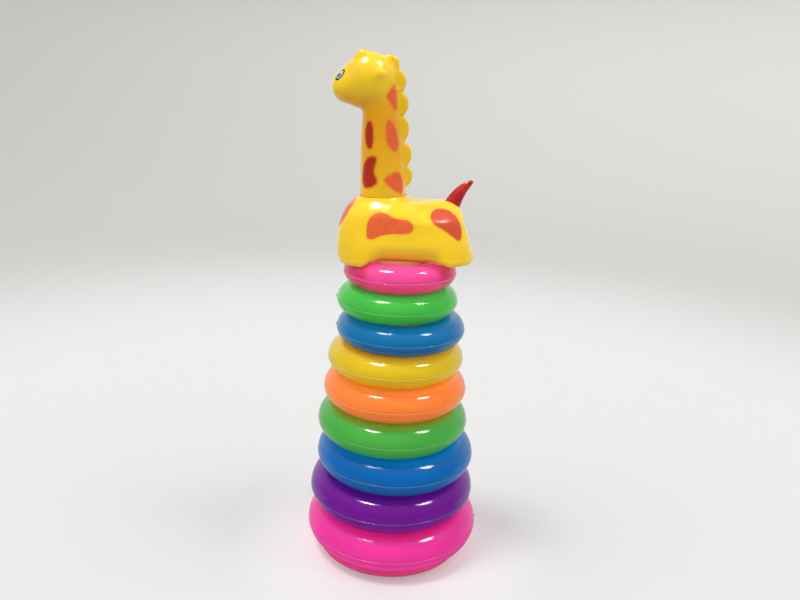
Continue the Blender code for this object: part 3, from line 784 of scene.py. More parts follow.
def body_rows():
    rows = [body_loop(h, *BODY_STATIONS[0, 1:], inset=inset) for inset, h in LOWER_EDGE]
    for t in np.linspace(0, BODY_PATH[-1], 66):
        station = body_station(t)
        if station[0] >= 3.6:
            rows.append(body_loop(*station))
    for h, radius, lift in NECK_FILLET:
        loop = neck_circle(h, radius, stretch=4.0 * (1 - lift) ** 2)
        # the fillet rises more behind the neck than in front
        loop[:, 2] += lift * (0.15 + 1.25 * np.clip((loop[:, 0] + 27) / 30, 0, 1))
        rows.append(loop)
    for loop in rows:
        raise_shoulder(loop)
    rows += [neck_circle(h, radius) for h, radius in NECK_HOLE]
    rows += [body_loop(*station, shaped=False) for station in INNER_TOP]
    for t in np.linspace(BODY_PATH[2], 0, 12):
        station = body_station(t)
        if station[0] > 2.4:
            rows.append(body_loop(*station, inset=BODY_WALL))
    return rows


# ---------------------------------------------------------------- giraffe: colours
# the sprayed patches on each flank, as x and height from the shoulder
FLANK_SPOTS = (
    rounded([
        (-20.9, -19.4), (-20.0, -22.9), (-16.0, -22.6), (-11.7, -20.1), (-5.0, -18.7),
        (3.0, -18.8), (6.9, -17.7), (8.4, -14.7), (6.6, -11.2), (2.7, -10.0), (-3.4, -9.7),
        (-9.0, -6.8), (-13.9, -6.3), (-18.3, -8.7), (-20.6, -13.5),
    ]),
    rounded([
        (17.9, -7.2), (18.8, -10.9), (22.5, -13.8), (28.2, -16.8), (32.7, -20.6),
        (36.6, -23.6), (38.6, -21.9), (38.4, -16.7), (36.1, -10.2), (31.4, -6.0),
        (27.0, -4.5), (21.5, -4.3),
    ]),
)
# y, height, half width and half height of the oval on the front of the chest
CHEST_SPOT = (0.0, -10.8, 12.3, 10.2)
FAR = 9.0  # spot distances are cut off here

GIRAFFE_YELLOW = (0.860, 0.575, 0.024)
# painted shade for the neck under the head
NECK_SHADE_YELLOW = (0.800, 0.365, 0.012)
SPOT_ORANGE = (0.760, 0.118, 0.040)
SPOT_CRIMSON = (0.440, 0.014, 0.009)
SPOT_RED = (0.600, 0.062, 0.036)


def body_spots(p):
    """Distance from each point to the nearest patch of the body, negative inside."""
    x, y, h = p[:, 0], p[:, 1], p[:, 2] - SHOULDER
    distance = np.full(len(p), FAR)
    side = smooth(np.abs(y), 6.0, 11.0)
    for outline in FLANK_SPOTS:
        distance = np.minimum(distance, outline_distance(x, h, outline) + FAR * (1 - side))
    centre_y, centre_h, half_width, half_height = CHEST_SPOT
    chest = np.hypot((y - centre_y) / half_width, (h - centre_h) / half_height) - 1
    chest = chest * min(half_width, half_height)
    distance = np.minimum(distance, chest + FAR * (1 - smooth(-x, 16, 24)))
    return np.clip(distance, -FAR, FAR)


def giraffe_material(name, softness, on_neck):
    """Yellow plastic with sprayed patches dusted by overspray, and a hairline mould seam.

    softness is the half width of a patch's edge in millimetres.
    """
    g = material_graph(name)
    distance = g.attribute("spot")
    speck = g.math("SUBTRACT", g.noise(scale=420.0, detail=3.0, rough=0.6), 0.5)
    edge = g.math("ADD", distance, g.math("MULTIPLY", speck, 0.9 * softness))
    patch = g.ramp(edge, span=(softness, -softness * 0.75), to=(0.0, 0.97))
    grit = g.ramp(g.noise(scale=1500.0, detail=1.0), span=(0.52, 0.62))
    reach = g.ramp(distance, span=(2.6 * softness, 0.0), to=(0.0, 0.30))
    dust = g.math("MULTIPLY", grit, reach)
    paint = g.mottle(scale=210.0, detail=4.0, rough=0.65)
    paint = g.mix(paint, tinted(SPOT_ORANGE, 0.92), tinted(SPOT_ORANGE, 1.1))
    yellow = g.mottle(scale=24.0, detail=3.0, rough=0.55)
    yellow = g.mix(yellow, tinted(GIRAFFE_YELLOW, 0.95), tinted(GIRAFFE_YELLOW, 1.05))
    if on_neck:
        paint = g.mix(g.attribute("tone"), paint, SPOT_CRIMSON)
        # painted shade: the neck's yellow is darkened, most of all under the chin where the head
        # shades it
        yellow = g.mix(g.attribute("neck_shade"), yellow, NECK_SHADE_YELLOW)
    else:
        # the rump and chest spots were sprayed redder than the middle one
        rump = g.ramp(g.xyz[0], span=(0.010, 0.014))
        chest = g.ramp(g.xyz[0], span=(-0.034, -0.030), to=(1.0, 0.0))
        redder = g.math("MAXIMUM", rump, chest)
        paint = g.mix(g.math("MULTIPLY", redder, 0.85), paint, SPOT_RED)
    colour = g.mix(g.math("MAXIMUM", patch, dust), yellow, paint)
    normal = moulded(g, colour, rough=0.20, gloss=0.46, under=0.3,
                     under_radius=(1.0, 0.45, 0.08), wave=0.04)
    seam = g.ramp(g.math("ABSOLUTE", g.xyz[1]), span=(0.00045, 0.00012))
    return g.finish(g.bump(seam, strength=0.25, distance=0.00012, normal=normal))


# ---------------------------------------------------------------- giraffe: body pieces
def build_body_shell():
    rows = body_rows()
    verts = np.concatenate(rows)
    material = giraffe_material("giraffe_body_plastic", softness=0.7, on_neck=False)
    solid("giraffe_body_moulding", verts, grid_faces(len(rows), BODY_POINTS), "giraffe_body",
          "giraffe_body_shell", material, sharp=55,
          attributes={"spot": body_spots(verts)})


PLATE_INSET = 2.5  # from the body's lower outline to the plate's edge
# painted light: a pale tan for the plate, which sits in shade, standing in for the pink light
# bounced up from the top ring
PLATE_BOUNCE_TAN = (0.980, 0.560, 0.260)
# extra inset and height of the loops over the plate's edge
PLATE_EDGE = ((0.35, 0.0), (0.08, 0.10), (0.0, 0.35), (0.1, 1.3), (0.5, 1.9), (1.0, 2.0))
# distance outside the socket's bore and height of the loops over the socket
SOCKET = ((2.3, 2.0), (1.9, 2.4), (1.6, 11.6), (1.2, 12.0), (0.3, 12.0), (0.0, 11.6))


def build_belly_plate():
    """The plate that closes the body from below, with a socket for the post."""
    g = material_graph("belly_plate_plastic")
    material = g.finish(moulded(g, PLATE_BOUNCE_TAN, rough=0.28, gloss=0.36, under=0.3))
    socket = post_radius(PLATE_Z) + 0.7
    angles = np.arange(BODY_POINTS) * TAU / BODY_POINTS

    def edge(extra, h):
        outline = BODY_STATIONS[0, 1:]
        loop = body_loop(h, *outline, inset=PLATE_INSET + extra, shaped=False)
        x, y = loop[:, 0], loop[:, 1]
        pull = (TUCK + PLATE_INSET) * between_legs(x, y, outline[2])
        loop[:, 1] = y - np.sign(y) * pull
        return loop

    def circle(extra, h):
        r = socket + extra
        z = np.full(BODY_POINTS, PLATE_Z + h)
        return np.stack([r * np.cos(angles), r * np.sin(angles), z], 1)

    drop = COLLAR_Z - PLATE_Z
    if drop < -1:  # with a collar down into the top ring
        foot = ((0.0, drop + 0.3), (0.3, drop), (1.4, drop), (1.7, drop + 0.4), (1.7, 0.0))
    else:
        foot = ((0.0, 0.3), (0.3, 0.0))
    loops = [edge(*row) for row in PLATE_EDGE] + [circle(*row) for row in SOCKET + foot]
    solid("giraffe_belly_panel", np.concatenate(loops), grid_faces(len(loops), BODY_POINTS),
          "giraffe_body", "giraffe_belly_plate", material)


# the curve of the tail: root, control point and end
TAIL_ROOT = np.array((30.4, 0, SHOULDER - 9.0))
TAIL_BEND = np.array((35.0, 0, SHOULDER + 5.0))
TAIL_END = np.array((43.9, 0, SHOULDER + 11.1))
TAIL_TIP = 1.3  # radius at the end
TAIL_SWELL = 4.75  # added to the radius at the root
TAIL_FLATNESS = 0.82  # width across y over thickness
TAIL_REDS = ((0.40, 0.015, 0.017), (0.52, 0.027, 0.024))


def build_tail():
    """A curved horn with a round tip."""
    g = material_graph("tail_plastic")
    red = g.mix(g.mottle(scale=180.0, detail=4.0, rough=0.6), *TAIL_REDS)
    material = g.finish(moulded(g, red, rough=0.22, gloss=0.5, under=0.1))
    steps = 44
    angles = np.arange(40) * TAU / 40
    side = np.array((0.0, 1.0, 0.0))

    def oval(centre, up, r):
        across = side * (TAIL_FLATNESS * r * np.sin(angles))[:, None]
        return centre + up * (r * np.cos(angles))[:, None] + across

    loops = []
    for i in range(steps + 1):
        t = i / steps
        centre = (1 - t) ** 2 * TAIL_ROOT + 2 * t * (1 - t) * TAIL_BEND + t * t * TAIL_END
        along = 2 * (1 - t) * (TAIL_BEND - TAIL_ROOT) + 2 * t * (TAIL_END - TAIL_BEND)
        along = along / np.linalg.norm(along)
        up = np.cross(along, side)
        loops.append(oval(centre, up, TAIL_SWELL * (1 - t) ** 0.75 + TAIL_TIP))
    for degrees in (25, 48, 66, 80):
        a = math.radians(degrees)
        tip_centre = centre + along * (TAIL_TIP * math.sin(a))
        loops.append(oval(tip_centre, up, TAIL_TIP * math.cos(a)))
    verts, faces = capped_tube(loops, loops[0].mean(0), centre + along * TAIL_TIP)
    solid("giraffe_tail_horn", verts, faces, "giraffe_body", "giraffe_tail", material)


# ---------------------------------------------------------------- giraffe: neck and head
# height over the shoulder, centre x, radius
NECK_STATIONS = np.array(
    ((0, -12.0, 14.7), (18, -12.6, 14.1), (36, -13.6, 13.0), (53, -14.6, 11.4), (62, -15.2, 10.9))
)
# mane scallops, top first: centre x, height over the shoulder, depth, half height
MANE = (
    (-9.6, 80.6, 5.6, 5.4),
    (-5.1, 70.3, 5.4, 7.3),
    (-3.2, 57.2, 5.4, 7.6),
    (-2.2, 42.2, 5.4, 8.0),
    (0.0, 26.9, 5.4, 7.9),
    (0.9, 13.4, 5.4, 6.8),
)
MANE_HALF_WIDTH = 1.9
# the lattice that the neck's surface is found on, in millimetres over the shoulder
LATTICE_LOW, LATTICE_HIGH, LATTICE_STEP = (-47.0, -17.5, -8.6), (8.6, 17.5, 90.6), 0.8


def neck_axis(z):
    """Centre x and radius of the neck at a height over the shoulder."""
    z = np.clip(z, 0, 62)
    return tuple(monotone(NECK_STATIONS[:, 0], NECK_STATIONS[:, i], z) for i in (1, 2))


def join_smooth(a, b, blend):
    """Union of two distance fields with a fillet."""
    h = np.clip(0.5 + 0.5 * (b - a) / blend, 0, 1)
    return b * (1 - h) + a * h - blend * h * (1 - h)


def meet_rounded(a, b, radius):
    """Intersection of two distance fields with a rounded edge."""
    a, b = a + radius, b + radius
    return np.minimum(np.maximum(a, b), 0) + np.hypot(np.maximum(a, 0), np.maximum(b, 0)) - radius


def ball(p, centre, radii):
    scaled = (p - np.array(centre)) / np.array(radii)
    size = np.linalg.norm(scaled, axis=-1)
    gradient = np.linalg.norm(scaled / np.array(radii), axis=-1)
    return size * (size - 1) / np.maximum(gradient, 1e-9)


def round_cone(p, start, end, start_radius, end_radius):
    """Two balls in the middle plane, centred at (x, z), in the straight cone that wraps them."""
    axis = np.array((end[0] - start[0], 0.0, end[1] - start[1]))
    length = np.linalg.norm(axis)
    axis = axis / length
    q = p - np.array((start[0], 0.0, start[1]))
    along = q @ axis
    off = np.sqrt(np.maximum((q**2).sum(-1) - along**2, 0.0))
    sine = (start_radius - end_radius) / length
    cosine = math.sqrt(1 - sine * sine)
    t = along * cosine - off * sine
    side = off * cosine + along * sine - start_radius
    near_start = np.sqrt(along**2 + off**2) - start_radius
    near_end = np.sqrt((along - length) ** 2 + off**2) - end_radius
    return np.where(t < 0, near_start, np.where(t > length * cosine, near_end, side))


def mane_field(x, y, z, back):
    """A strip that follows the back of the neck, with the scallops on it."""
    scallops = []
    for centre_x, centre_z, depth, height in MANE:
        dx, dz = x - centre_x, z - centre_z
        size = np.hypot(dx / depth, dz / height)
        gradient = np.hypot(dx / depth**2, dz / height**2)
        scallops.append(size * (size - 1) / np.maximum(gradient, 1e-9))
    mane = reduce(lambda a, b: join_smooth(a, b, 0.5), scallops)
    depth = np.maximum(x - (back + 0.6), -(x - back + 6))
    strip = np.maximum(depth, np.maximum(8.0 - z, z - 78))
    mane = join_smooth(mane, strip, 1.0)
    return meet_rounded(mane, np.abs(y) - MANE_HALF_WIDTH, radius=1.7)


def head_field(p):
    skull = ball(p, centre=(-21.5, 0, 70.6), radii=(16.5, 14.6, 16.5))
    muzzle = ball(p, centre=(-35.3, 0, 66.5), radii=(9.3, 10.4, 9.8))
    bridge = round_cone(p, (-22.5, 72.0), (-35.0, 67.4), start_radius=14.7, end_radius=9.7)
    chin = ball(p, centre=(-27.0, 0, 58.9), radii=(7.2, 8.5, 4.5))
    head = join_smooth(skull, muzzle, 5.0)
    head = join_smooth(head, bridge, 1.5)
    return join_smooth(head, chin, 2.5)


def neck_field(p):
    """Signed distance to the neck, head, mane, horns and ears, z over the shoulder."""
    x, y, z = p[..., 0], p[..., 1], p[..., 2]
    centre, radius = neck_axis(z)
    neck = meet_rounded(np.hypot(x - centre, y) - radius, 0.3 - z, radius=0.7)
    neck = np.maximum(neck, z - 66)
    field = join_smooth(neck, head_field(p), 2.6)
    field = join_smooth(field, mane_field(x, y, z, centre + radius), 1.6)
    mirrored = np.stack([x, np.abs(y), z], -1)
    horns = ball(mirrored, centre=(-25.9, 4.7, 83.1), radii=(5.1, 4.0, 5.5))
    ears = ball(mirrored, centre=(-15.2, 12.4, 74.4), radii=(3.2, 2.5, 3.0))
    field = join_smooth(field, horns, 1.6)
    field = join_smooth(field, ears, 2.2)
    # the plug that stands in the body's hole
    plug = np.maximum(np.hypot(x - NECK_X, y) - 12.0, np.maximum(z - 1.0, -7.7 - z))
    return np.minimum(field, plug)


def field_normal(p):
    gradient = np.zeros_like(p)
    for i in range(3):
        offset = np.zeros(3)
        offset[i] = 0.05
        gradient[..., i] = neck_field(p + offset) - neck_field(p - offset)
    return gradient / np.maximum(np.linalg.norm(gradient, axis=-1, keepdims=True), 1e-9)


def onto_field(p, steps, lift=0.0):
    """Draws points onto the surface, or to a height lift over it."""
    for _ in range(steps):
        p = p - field_normal(p) * (neck_field(p) - lift)[..., None]
    return p


def even_out(verts, quads):
    """Evens the spacing of the vertices, keeping each on the surface."""
    edges = np.concatenate([quads[:, [i, (i + 1) % 4]] for i in range(4)])
    for _ in range(3):
        total = np.zeros_like(verts)
        count = np.zeros(len(verts))
        for here, there in ((0, 1), (1, 0)):
            np.add.at(total, edges[:, here], verts[edges[:, there]])
            np.add.at(count, edges[:, here], 1)
        verts = verts * 0.45 + 0.55 * total / count[:, None]
        verts = onto_field(verts, 2)
    return verts


def skin_field(low, high, step):
    """Quads over the zero surface of neck_field, one vertex for each crossed lattice cell."""
    axes = [np.arange(a, b + step, step) for a, b in zip(low, high)]
    inside = neck_field(np.stack(np.meshgrid(*axes, indexing="ij"), -1)) < 0
    shape = inside.shape
    corners = np.zeros(tuple(n - 1 for n in shape), int)
    for i, j, k in np.ndindex(2, 2, 2):
        corners += inside[i : shape[0] - 1 + i, j : shape[1] - 1 + j, k : shape[2] - 1 + k]
    crossed = (corners > 0) & (corners < 8)
    index = np.full(crossed.shape, -1)
    index[crossed] = np.arange(crossed.sum())
    verts = np.array(low) + (np.argwhere(crossed) + 0.5) * step
    quads = []
    for axis in range(3):
        near = inside[tuple(slice(None, -1 if i == axis else None) for i in range(3))]
        far = inside[tuple(slice(1 if i == axis else None, None) for i in range(3))]
        at = np.argwhere(near != far)
        u, v = [i for i in range(3) if i != axis]
        at = at[(at[:, u] > 0) & (at[:, v] > 0)
                & (at[:, u] < shape[u] - 1) & (at[:, v] < shape[v] - 1)]
        starts_inside = near[tuple(at.T)]
        cells = []
        for du, dv in ((-1, -1), (0, -1), (0, 0), (-1, 0)):
            cell = at.copy()
            cell[:, u] += du
            cell[:, v] += dv
            cells.append(index[tuple(cell.T)])
        quad = np.stack(cells, 1)
        flip = starts_inside if axis != 1 else ~starts_inside
        quad[flip] = quad[flip][:, ::-1]
        quads.append(quad)
    quads = np.concatenate(quads)
    return even_out(onto_field(verts, 3), quads), quads[:, ::-1]


# the neck's patches: arc length from the front of the neck at ARC_RADIUS and height over the
# shoulder; then how crimson the patch is
ARC_RADIUS = 13.0
NECK_SPOTS = (
    (rounded([
        (10.4, 46.6), (13.4, 47.2), (15.2, 44.4), (15.5, 38.8), (15.3, 33.0), (13.6, 30.2),
        (11.0, 31.0), (9.2, 36.0), (8.8, 41.0),
    ]), 1.0),
    (rounded([
        (24.3, 46.8), (26.8, 48.4), (29.2, 46.4), (31.2, 42.0), (32.4, 37.0), (32.2, 32.0),
        (29.8, 29.4), (26.5, 30.4), (24.0, 34.0), (23.4, 40.0),
    ]), 0.0),
    (rounded([
        (10.2, 24.2), (13.6, 26.4), (17.6, 26.2), (16.9, 21.8), (15.4, 17.4), (17.2, 13.4),
        (17.7, 10.0), (14.4, 7.2), (9.8, 6.2), (6.8, 9.0), (6.6, 14.0), (7.6, 19.6),
    ]), 1.0),
    (rounded([
        (21.0, 11.6), (23.6, 15.0), (27.6, 17.2), (31.2, 17.0), (34.0, 12.4), (35.2, 7.0),
        (33.2, 2.8), (29.4, 4.6), (25.2, 7.8),
    ]), 0.0),
)
# the patch behind the jaw, as x and height over the shoulder
JAW_SPOT = rounded([
    (-7.0, 69.0), (-5.7, 66.9), (-5.0, 64.6), (-4.8, 60.0), (-4.7, 55.9), (-5.2, 53.6),
    (-6.7, 54.9), (-8.6, 57.6), (-10.5, 60.6), (-11.0, 62.1), (-9.9, 64.6), (-8.6, 67.0),
])


def neck_spots(p):
    """Distance to the nearest patch, how crimson it is, and how much painted shade darkens the
    yellow.
    """
    x, y, z = p.T
    centre, radius = neck_axis(z)
    arc = ARC_RADIUS * np.arctan2(np.abs(y), -(x - centre))
    spots = [(outline_distance(arc, z, outline), tone) for outline, tone in NECK_SPOTS]
    jaw = outline_distance(x, z, JAW_SPOT) + FAR * (1 - smooth(np.abs(y), 1.8, 3.0))
    nearest = np.full(len(p), FAR)
    tone = np.zeros(len(p))
    for distance, spot_tone in spots + [(jaw, 0.0)]:
        tone = np.where(distance < nearest, spot_tone, tone)
        nearest = np.minimum(nearest, distance)
    # painted shade: darker up the neck and most under the chin, lighter on the mane
    neck_shade = (0.40 + 0.60 * smooth(z, 0.0, 50.0)) * (1 - smooth(z, 54.0, 68.0))
    neck_shade = neck_shade * (1 - 0.85 * smooth(x - (centre + radius), -2.0, 1.0))
    return {"spot": np.clip(nearest, -FAR, FAR), "tone": tone, "neck_shade": neck_shade}


def build_neck():
    verts, quads = skin_field(LATTICE_LOW, LATTICE_HIGH, LATTICE_STEP)
    material = giraffe_material("giraffe_neck_plastic", softness=1.4, on_neck=True)
    solid("giraffe_neck_moulding", verts + np.array((0, 0, SHOULDER)), quads, "giraffe_neck",
          "giraffe_neck_and_head", material, sharp=0,
          attributes=neck_spots(verts))


# ---------------------------------------------------------------- giraffe: eyes
EYE_X, EYE_Y, EYE_Z = -39.9, 7.2, 73.7  # z over the shoulder
EYE_UP = (0.60, 0.0, 0.80)
EYE_HALF_HEIGHT, EYE_HALF_WIDTH = 4.1, 2.5
EYE_SINK = -0.25  # depth of the print's hidden underside
WHITES = ((0.50, 0.56, 0.61), (0.66, 0.70, 0.70))
IRIS_BLUES = ((0.012, 0.04, 0.11), (0.10, 0.22, 0.36))
PUPIL, GLINT, RIM = (0.006, 0.008, 0.012), (0.85, 0.86, 0.86), (0.010, 0.009, 0.010)


def eye_material():
    """Printed eye; its discs are laid out in the unit oval, u upward and v across."""
    g = material_graph("eye_print_fine")
    rho, u, v = g.attribute("rho"), g.attribute("eye_u"), g.attribute("eye_v")
    iris_radius = g.hypot(g.math("ADD", u, 0.10), g.math("ADD", v, 0.02))
    glint_radius = g.hypot(g.math("SUBTRACT", u, 0.22), g.math("ADD", v, 0.16))
    white = g.mix(g.mottle(scale=900.0), *WHITES)
    iris = g.mix(g.ramp(iris_radius, span=(0.10, 0.40)), *IRIS_BLUES)
    colour = g.mix(g.ramp(iris_radius, span=(0.56, 0.46)), white, iris)
    colour = g.mix(g.ramp(iris_radius, span=(0.26, 0.18)), colour, PUPIL)
    colour = g.mix(g.ramp(glint_radius, span=(0.16, 0.10)), colour, GLINT)
    colour = g.mix(g.ramp(rho, span=(0.66, 0.76)), colour, RIM)
    g.put(g.bsdf.inputs["Base Color"], colour)
    g.put(g.bsdf.inputs["Roughness"], g.mottle(scale=800.0, to=(0.16, 0.26)))
    return g.owner


def build_eye(side, material):
    """An oval print a hair proud of the face; side is -1 at -Y (near) and 1 at +Y (far)."""
    word = "near" if side < 0 else "far"
    centre = onto_field(np.array([[EYE_X, side * EYE_Y, EYE_Z]]), 8)[0]
    normal = field_normal(centre[None])[0]
    up = np.array(EYE_UP)
    up = up - normal * (normal @ up)
    up /= np.linalg.norm(up)
    across = np.cross(normal, up)
    count, rings = 48, 12
    angles = np.arange(count) * TAU / count
    # share of the oval and lift over the face: the domed print, then its underside
    layers = [(i / rings, 0.16 + 0.10 * (1 - (i / rings) ** 4)) for i in range(1, rings + 1)]
    layers += [(rho, EYE_SINK) for rho in (1.0, 0.66, 0.33)]
    loops, rhos, us, vs = [], [], [], []
    for rho, lift in layers:
        u, v = np.cos(angles) * rho, np.sin(angles) * rho
        flat = centre + np.outer(u * EYE_HALF_HEIGHT, up) + np.outer(v * EYE_HALF_WIDTH, across)
        loops.append(onto_field(flat, 5, lift))
        rhos.extend([rho] * count)
        us.extend(u)
        vs.extend(v * side)
    top, bottom = (onto_field(centre[None], 5, lift)[0] for lift in (0.26, EYE_SINK))
    verts, faces = capped_tube(loops, top, bottom)
    poles = [0.0, 0.0]
    solid(f"giraffe_eye_print_{word}", verts + np.array((0, 0, SHOULDER)), faces,
          "giraffe_neck", f"giraffe_eye_{word}", material, sharp=60,
          attributes={"rho": rhos + poles, "eye_u": us + poles, "eye_v": vs + poles})


# ---------------------------------------------------------------- stage, in metres
FLOOR_RADIUS = 0.9
CURVE_RADIUS = 0.85
WALL_TOP = 1.6
PAPER_NEAR, PAPER_FAR_SHADED = (0.612, 0.612, 0.608), (0.435, 0.433, 0.420)
PAPER_WALL_SHADED = (0.545, 0.540, 0.512)


def sweep_material():
    g = material_graph("sweep_paper")
    x, y, z = g.xyz
    far = g.hypot(x, y)
    # painted shade: the paper darkens farther out and up the wall, where less light falls
    tone = g.mix(g.ramp(far, span=(0.45, 1.10)), PAPER_NEAR, PAPER_FAR_SHADED)
    tone = g.mix(g.ramp(z, span=(0.02, 0.55)), tone, PAPER_WALL_SHADED)
    # painted light: the sheet is painted a little lighter towards +X, where the right lamp falls;
    # beside the foot it is painted lighter at the sides and darker in front, as painted light and
    # shadow
    slope = g.ramp(x, span=(-0.9, 0.9), to=(-0.12, 0.12), kind="LINEAR")
    slope = g.math("MULTIPLY", slope, g.ramp(far, span=(0.7, 1.6)))
    aside = g.math("DIVIDE", g.math("MULTIPLY", x, x), g.math("MULTIPLY", far, far))
    foot_light_and_shade = g.ramp(far, span=(0.060, 0.125), to=(1.0, 0.0))
    foot_light_and_shade = g.math("MULTIPLY_ADD", foot_light_and_shade, g.math("MULTIPLY_ADD", aside, 0.25, -0.05), 1.0)
    tone = g.multiply(tone, g.math("MULTIPLY", g.math("ADD", slope, 1.0), foot_light_and_shade))
    # painted shade for reflections: the glossy rings see the near paper darker, standing in for
    # its shade under the stand
    mirrored = g.ramp(y, span=(-0.045, 0.03), to=(0.25, 0.95))
    tone = g.mix(g.is_glossy, tone, g.multiply(tone, mirrored))
    g.put(g.bsdf.inputs["Base Color"], tone)
    g.bsdf.inputs["Roughness"].default_value = 0.85
    g.bsdf.inputs["Specular IOR Level"].default_value = 0.15
    # a camera outside the sweep looks through its back
    both = g.fill(g.node("ShaderNodeMixShader"), (
        g.node("ShaderNodeNewGeometry").outputs["Backfacing"],
        g.bsdf.outputs[0],
        g.node("ShaderNodeBsdfTransparent").outputs[0],
    ))
    g.put(g.tree.nodes["Material Output"].inputs["Surface"], both)
    return g.owner


def turned_sheet(name, profile, material, centre):
    """An open sheet turned about the Z axis; centre closes it with a fan to the origin."""
    n = 128
    angles = np.arange(n) * TAU / n
    verts = [(0.0, 0.0, 0.0)] if centre else []
    start = len(verts)
    faces = [(0, 1 + i, 1 + (i + 1) % n) for i in range(n)] if centre else []
    for r, z in profile:
        verts += [(r * math.cos(a), r * math.sin(a), z) for a in angles]
    for i in range(len(profile) - 1):
        a, b = start + i * n, start + (i + 1) * n
        faces += [(a + j, b + j, b + (j + 1) % n, a + (j + 1) % n) for j in range(n)]
    mesh = bpy.data.meshes.new(name)
    mesh.from_pydata(verts, [], faces)
    mesh.update()
    mesh.shade_smooth()
    mesh.materials.append(material)
    ob = bpy.data.objects.new(name, mesh)
    bpy.context.scene.collection.objects.link(ob)
    ob.visible_shadow = False
    return ob


def build_stage():
    """A round seamless sweep: a flat floor, then a curve up to a low wall.

    The floor lights the object from below; the curve and wall are only a background.
    """
    material = sweep_material()
    floor = [(r, 0.0) for r in (0.1, 0.2, 0.5, FLOOR_RADIUS)]
    turned_sheet("sweep_floor", floor, material, centre=True)
    profile = [
        (FLOOR_RADIUS + CURVE_RADIUS * math.sin(a), CURVE_RADIUS * (1 - math.cos(a)))
        for a in (math.radians(degrees) for degrees in np.linspace(0, 90, 33))
    ]
    profile.append((FLOOR_RADIUS + CURVE_RADIUS, WALL_TOP))
    wall = turned_sheet("sweep_wall", profile, material, centre=False)
    wall.visible_diffuse = False
    wall.visible_glossy = False


# ---------------------------------------------------------------- light
# Directions point from the object to the light.
# soft room light as lobes of brightness: weight, direction
LOBES = (
    (1.66, (-0.73, -0.12, 0.67)),
    (1.80, (0.73, -0.12, 0.67)),
    (0.20, (0.0, -0.60, 0.80)),
)
LOBE_SHARPNESS = 6.0
BELOW = 0.1  # light from under the horizon, beyond the floor
ROOM_COLOUR = (1.0, 0.998, 0.985, 1)
LEFT_AIM, RIGHT_AIM = (-0.28, -0.07, 0.955), (0.49, -0.08, 0.865)
# what reflections see: the dim room, the pale wall at +Y, the ceiling, and the lamps' discs
MIRRORED_ROOM, MIRRORED_WALL, MIRRORED_CEILING = 0.12, 0.85, 0.30
MIRRORED_LAMP = 30.0
MIRRORED_DISCS = ((LEFT_AIM, 10.0), (RIGHT_AIM, 8.0))  # direction, radius in degrees
# name, direction, power, size in degrees
LAMPS = (("lamp_left", LEFT_AIM, 1.10, 14), ("lamp_right", RIGHT_AIM, 0.20, 11))
# light that finds its way through the translucent plastic into the grooves: power, direction
FILLS = ((1.32, (0.0, -0.82, 0.57)), (0.42, (-0.78, -0.22, 0.58)), (0.42, (0.78, -0.22, 0.58)))
FILL_SIZE = 20


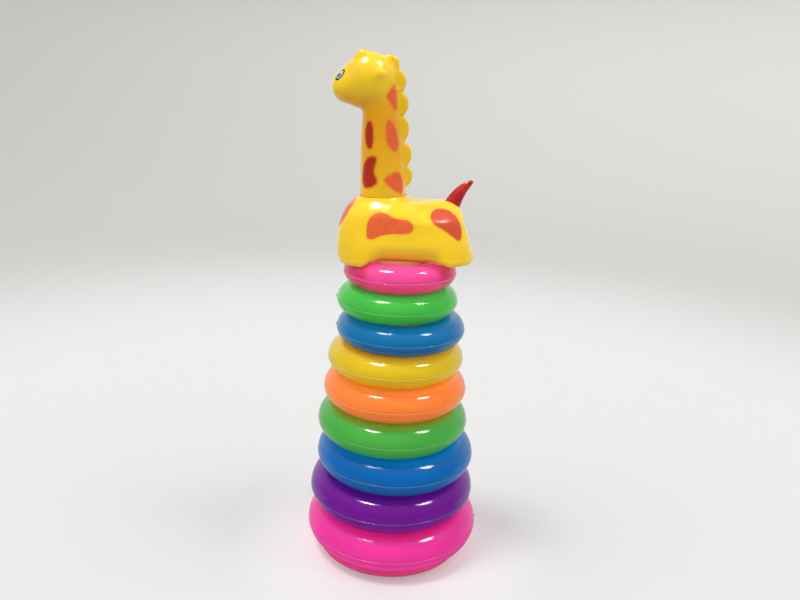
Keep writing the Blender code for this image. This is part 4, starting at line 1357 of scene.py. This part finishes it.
def build_room():
    """World light: a soft room for surfaces, and a sharper one for reflections."""
    world = bpy.data.worlds.new("soft_room")
    bpy.context.scene.world = world
    g = Graph(world)
    look = g.node("ShaderNodeTexCoord").outputs["Generated"]

    def toward(direction):
        node = g.node("ShaderNodeVectorMath", operation="DOT_PRODUCT")
        g.put(node.inputs[0], look)
        node.inputs[1].default_value = Vector(direction).normalized()
        return node.outputs["Value"]

    up = toward((0, 0, 1))
    above = g.ramp(up, span=(-0.04, 0.04))
    soft = g.math("MULTIPLY", g.math("SUBTRACT", 1.0, above), BELOW)
    for weight, aim in LOBES:
        lobe = g.math("POWER", g.math("MAXIMUM", toward(aim), 0.0), LOBE_SHARPNESS)
        lobe = g.math("MULTIPLY", g.math("MULTIPLY", above, lobe), weight)
        soft = g.math("ADD", soft, lobe)
    behind = g.ramp(toward((0, 1, 0)), span=(-0.1, 0.8))
    wall = g.math("MULTIPLY", behind, g.ramp(up, span=(0.75, 0.3)))
    shine = g.math("MULTIPLY_ADD", wall, MIRRORED_WALL, MIRRORED_ROOM)
    ceiling = g.ramp(up, span=(0.2, 0.95))
    shine = g.math("MULTIPLY_ADD", ceiling, MIRRORED_CEILING, shine)
    for aim, size in MIRRORED_DISCS:
        rim, core = math.cos(math.radians(size)), math.cos(math.radians(size * 0.5))
        disc = g.ramp(toward(aim), span=(rim, core))
        shine = g.math("ADD", shine, g.math("MULTIPLY", disc, MIRRORED_LAMP))
    glossy = g.is_glossy
    soft = g.math("MULTIPLY", soft, g.math("SUBTRACT", 1.0, glossy))
    level = g.math("ADD", soft, g.math("MULTIPLY", glossy, shine))
    background = g.tree.nodes["Background"]
    g.put(background.inputs["Strength"], level)
    background.inputs["Color"].default_value = ROOM_COLOUR


def lamp(name, direction, power, size):
    """A distant round lamp; size is its angle in degrees."""
    data = bpy.data.lights.new(name, "SUN")
    data.energy = power
    data.angle = math.radians(size)
    ob = bpy.data.objects.new(name, data)
    ob.rotation_mode = "QUATERNION"
    ob.rotation_quaternion = Vector(direction).to_track_quat("Z", "Y")
    bpy.context.scene.collection.objects.link(ob)
    return ob


def build_lamps():
    for settings in LAMPS:
        lamp(*settings)
    for i, (power, aim) in enumerate(FILLS):
        fill = lamp(f"fill_{i}", aim, power, FILL_SIZE)
        fill.data.use_shadow = False
        fill.visible_glossy = False


# ---------------------------------------------------------------- camera
CAMERA_PLACE = (1.4107, -465.587, 321.310)
CAMERA_DOWN, CAMERA_ROLL = 16.9747, 2.10987  # degrees
FOCAL_LENGTH, SENSOR_WIDTH = 32.8836, 36.0


def build_camera():
    data = bpy.data.cameras.new("camera")
    data.sensor_width = SENSOR_WIDTH
    data.lens = FOCAL_LENGTH
    data.clip_start, data.clip_end = 0.01, 20
    ob = bpy.data.objects.new("camera", data)
    place = Matrix.Translation(Vector(CAMERA_PLACE) * MM)
    tilt = Matrix.Rotation(math.radians(90 - CAMERA_DOWN), 4, "X")
    roll = Matrix.Rotation(math.radians(CAMERA_ROLL), 4, "Z")
    ob.matrix_world = place @ tilt @ roll
    bpy.context.scene.collection.objects.link(ob)
    bpy.context.scene.camera = ob


for k in range(1, 10):
    build_ring(k)
build_stand()
build_body_shell()
build_belly_plate()
build_tail()
build_neck()
eye = eye_material()
build_eye(-1, eye)
build_eye(1, eye)
build_stage()
build_room()
build_lamps()
build_camera()
view = bpy.context.scene.view_settings
view.view_transform = "Standard"
view.look = "None"
view.exposure = 0.0
view.gamma = 1.0
bpy.context.view_layer.update()
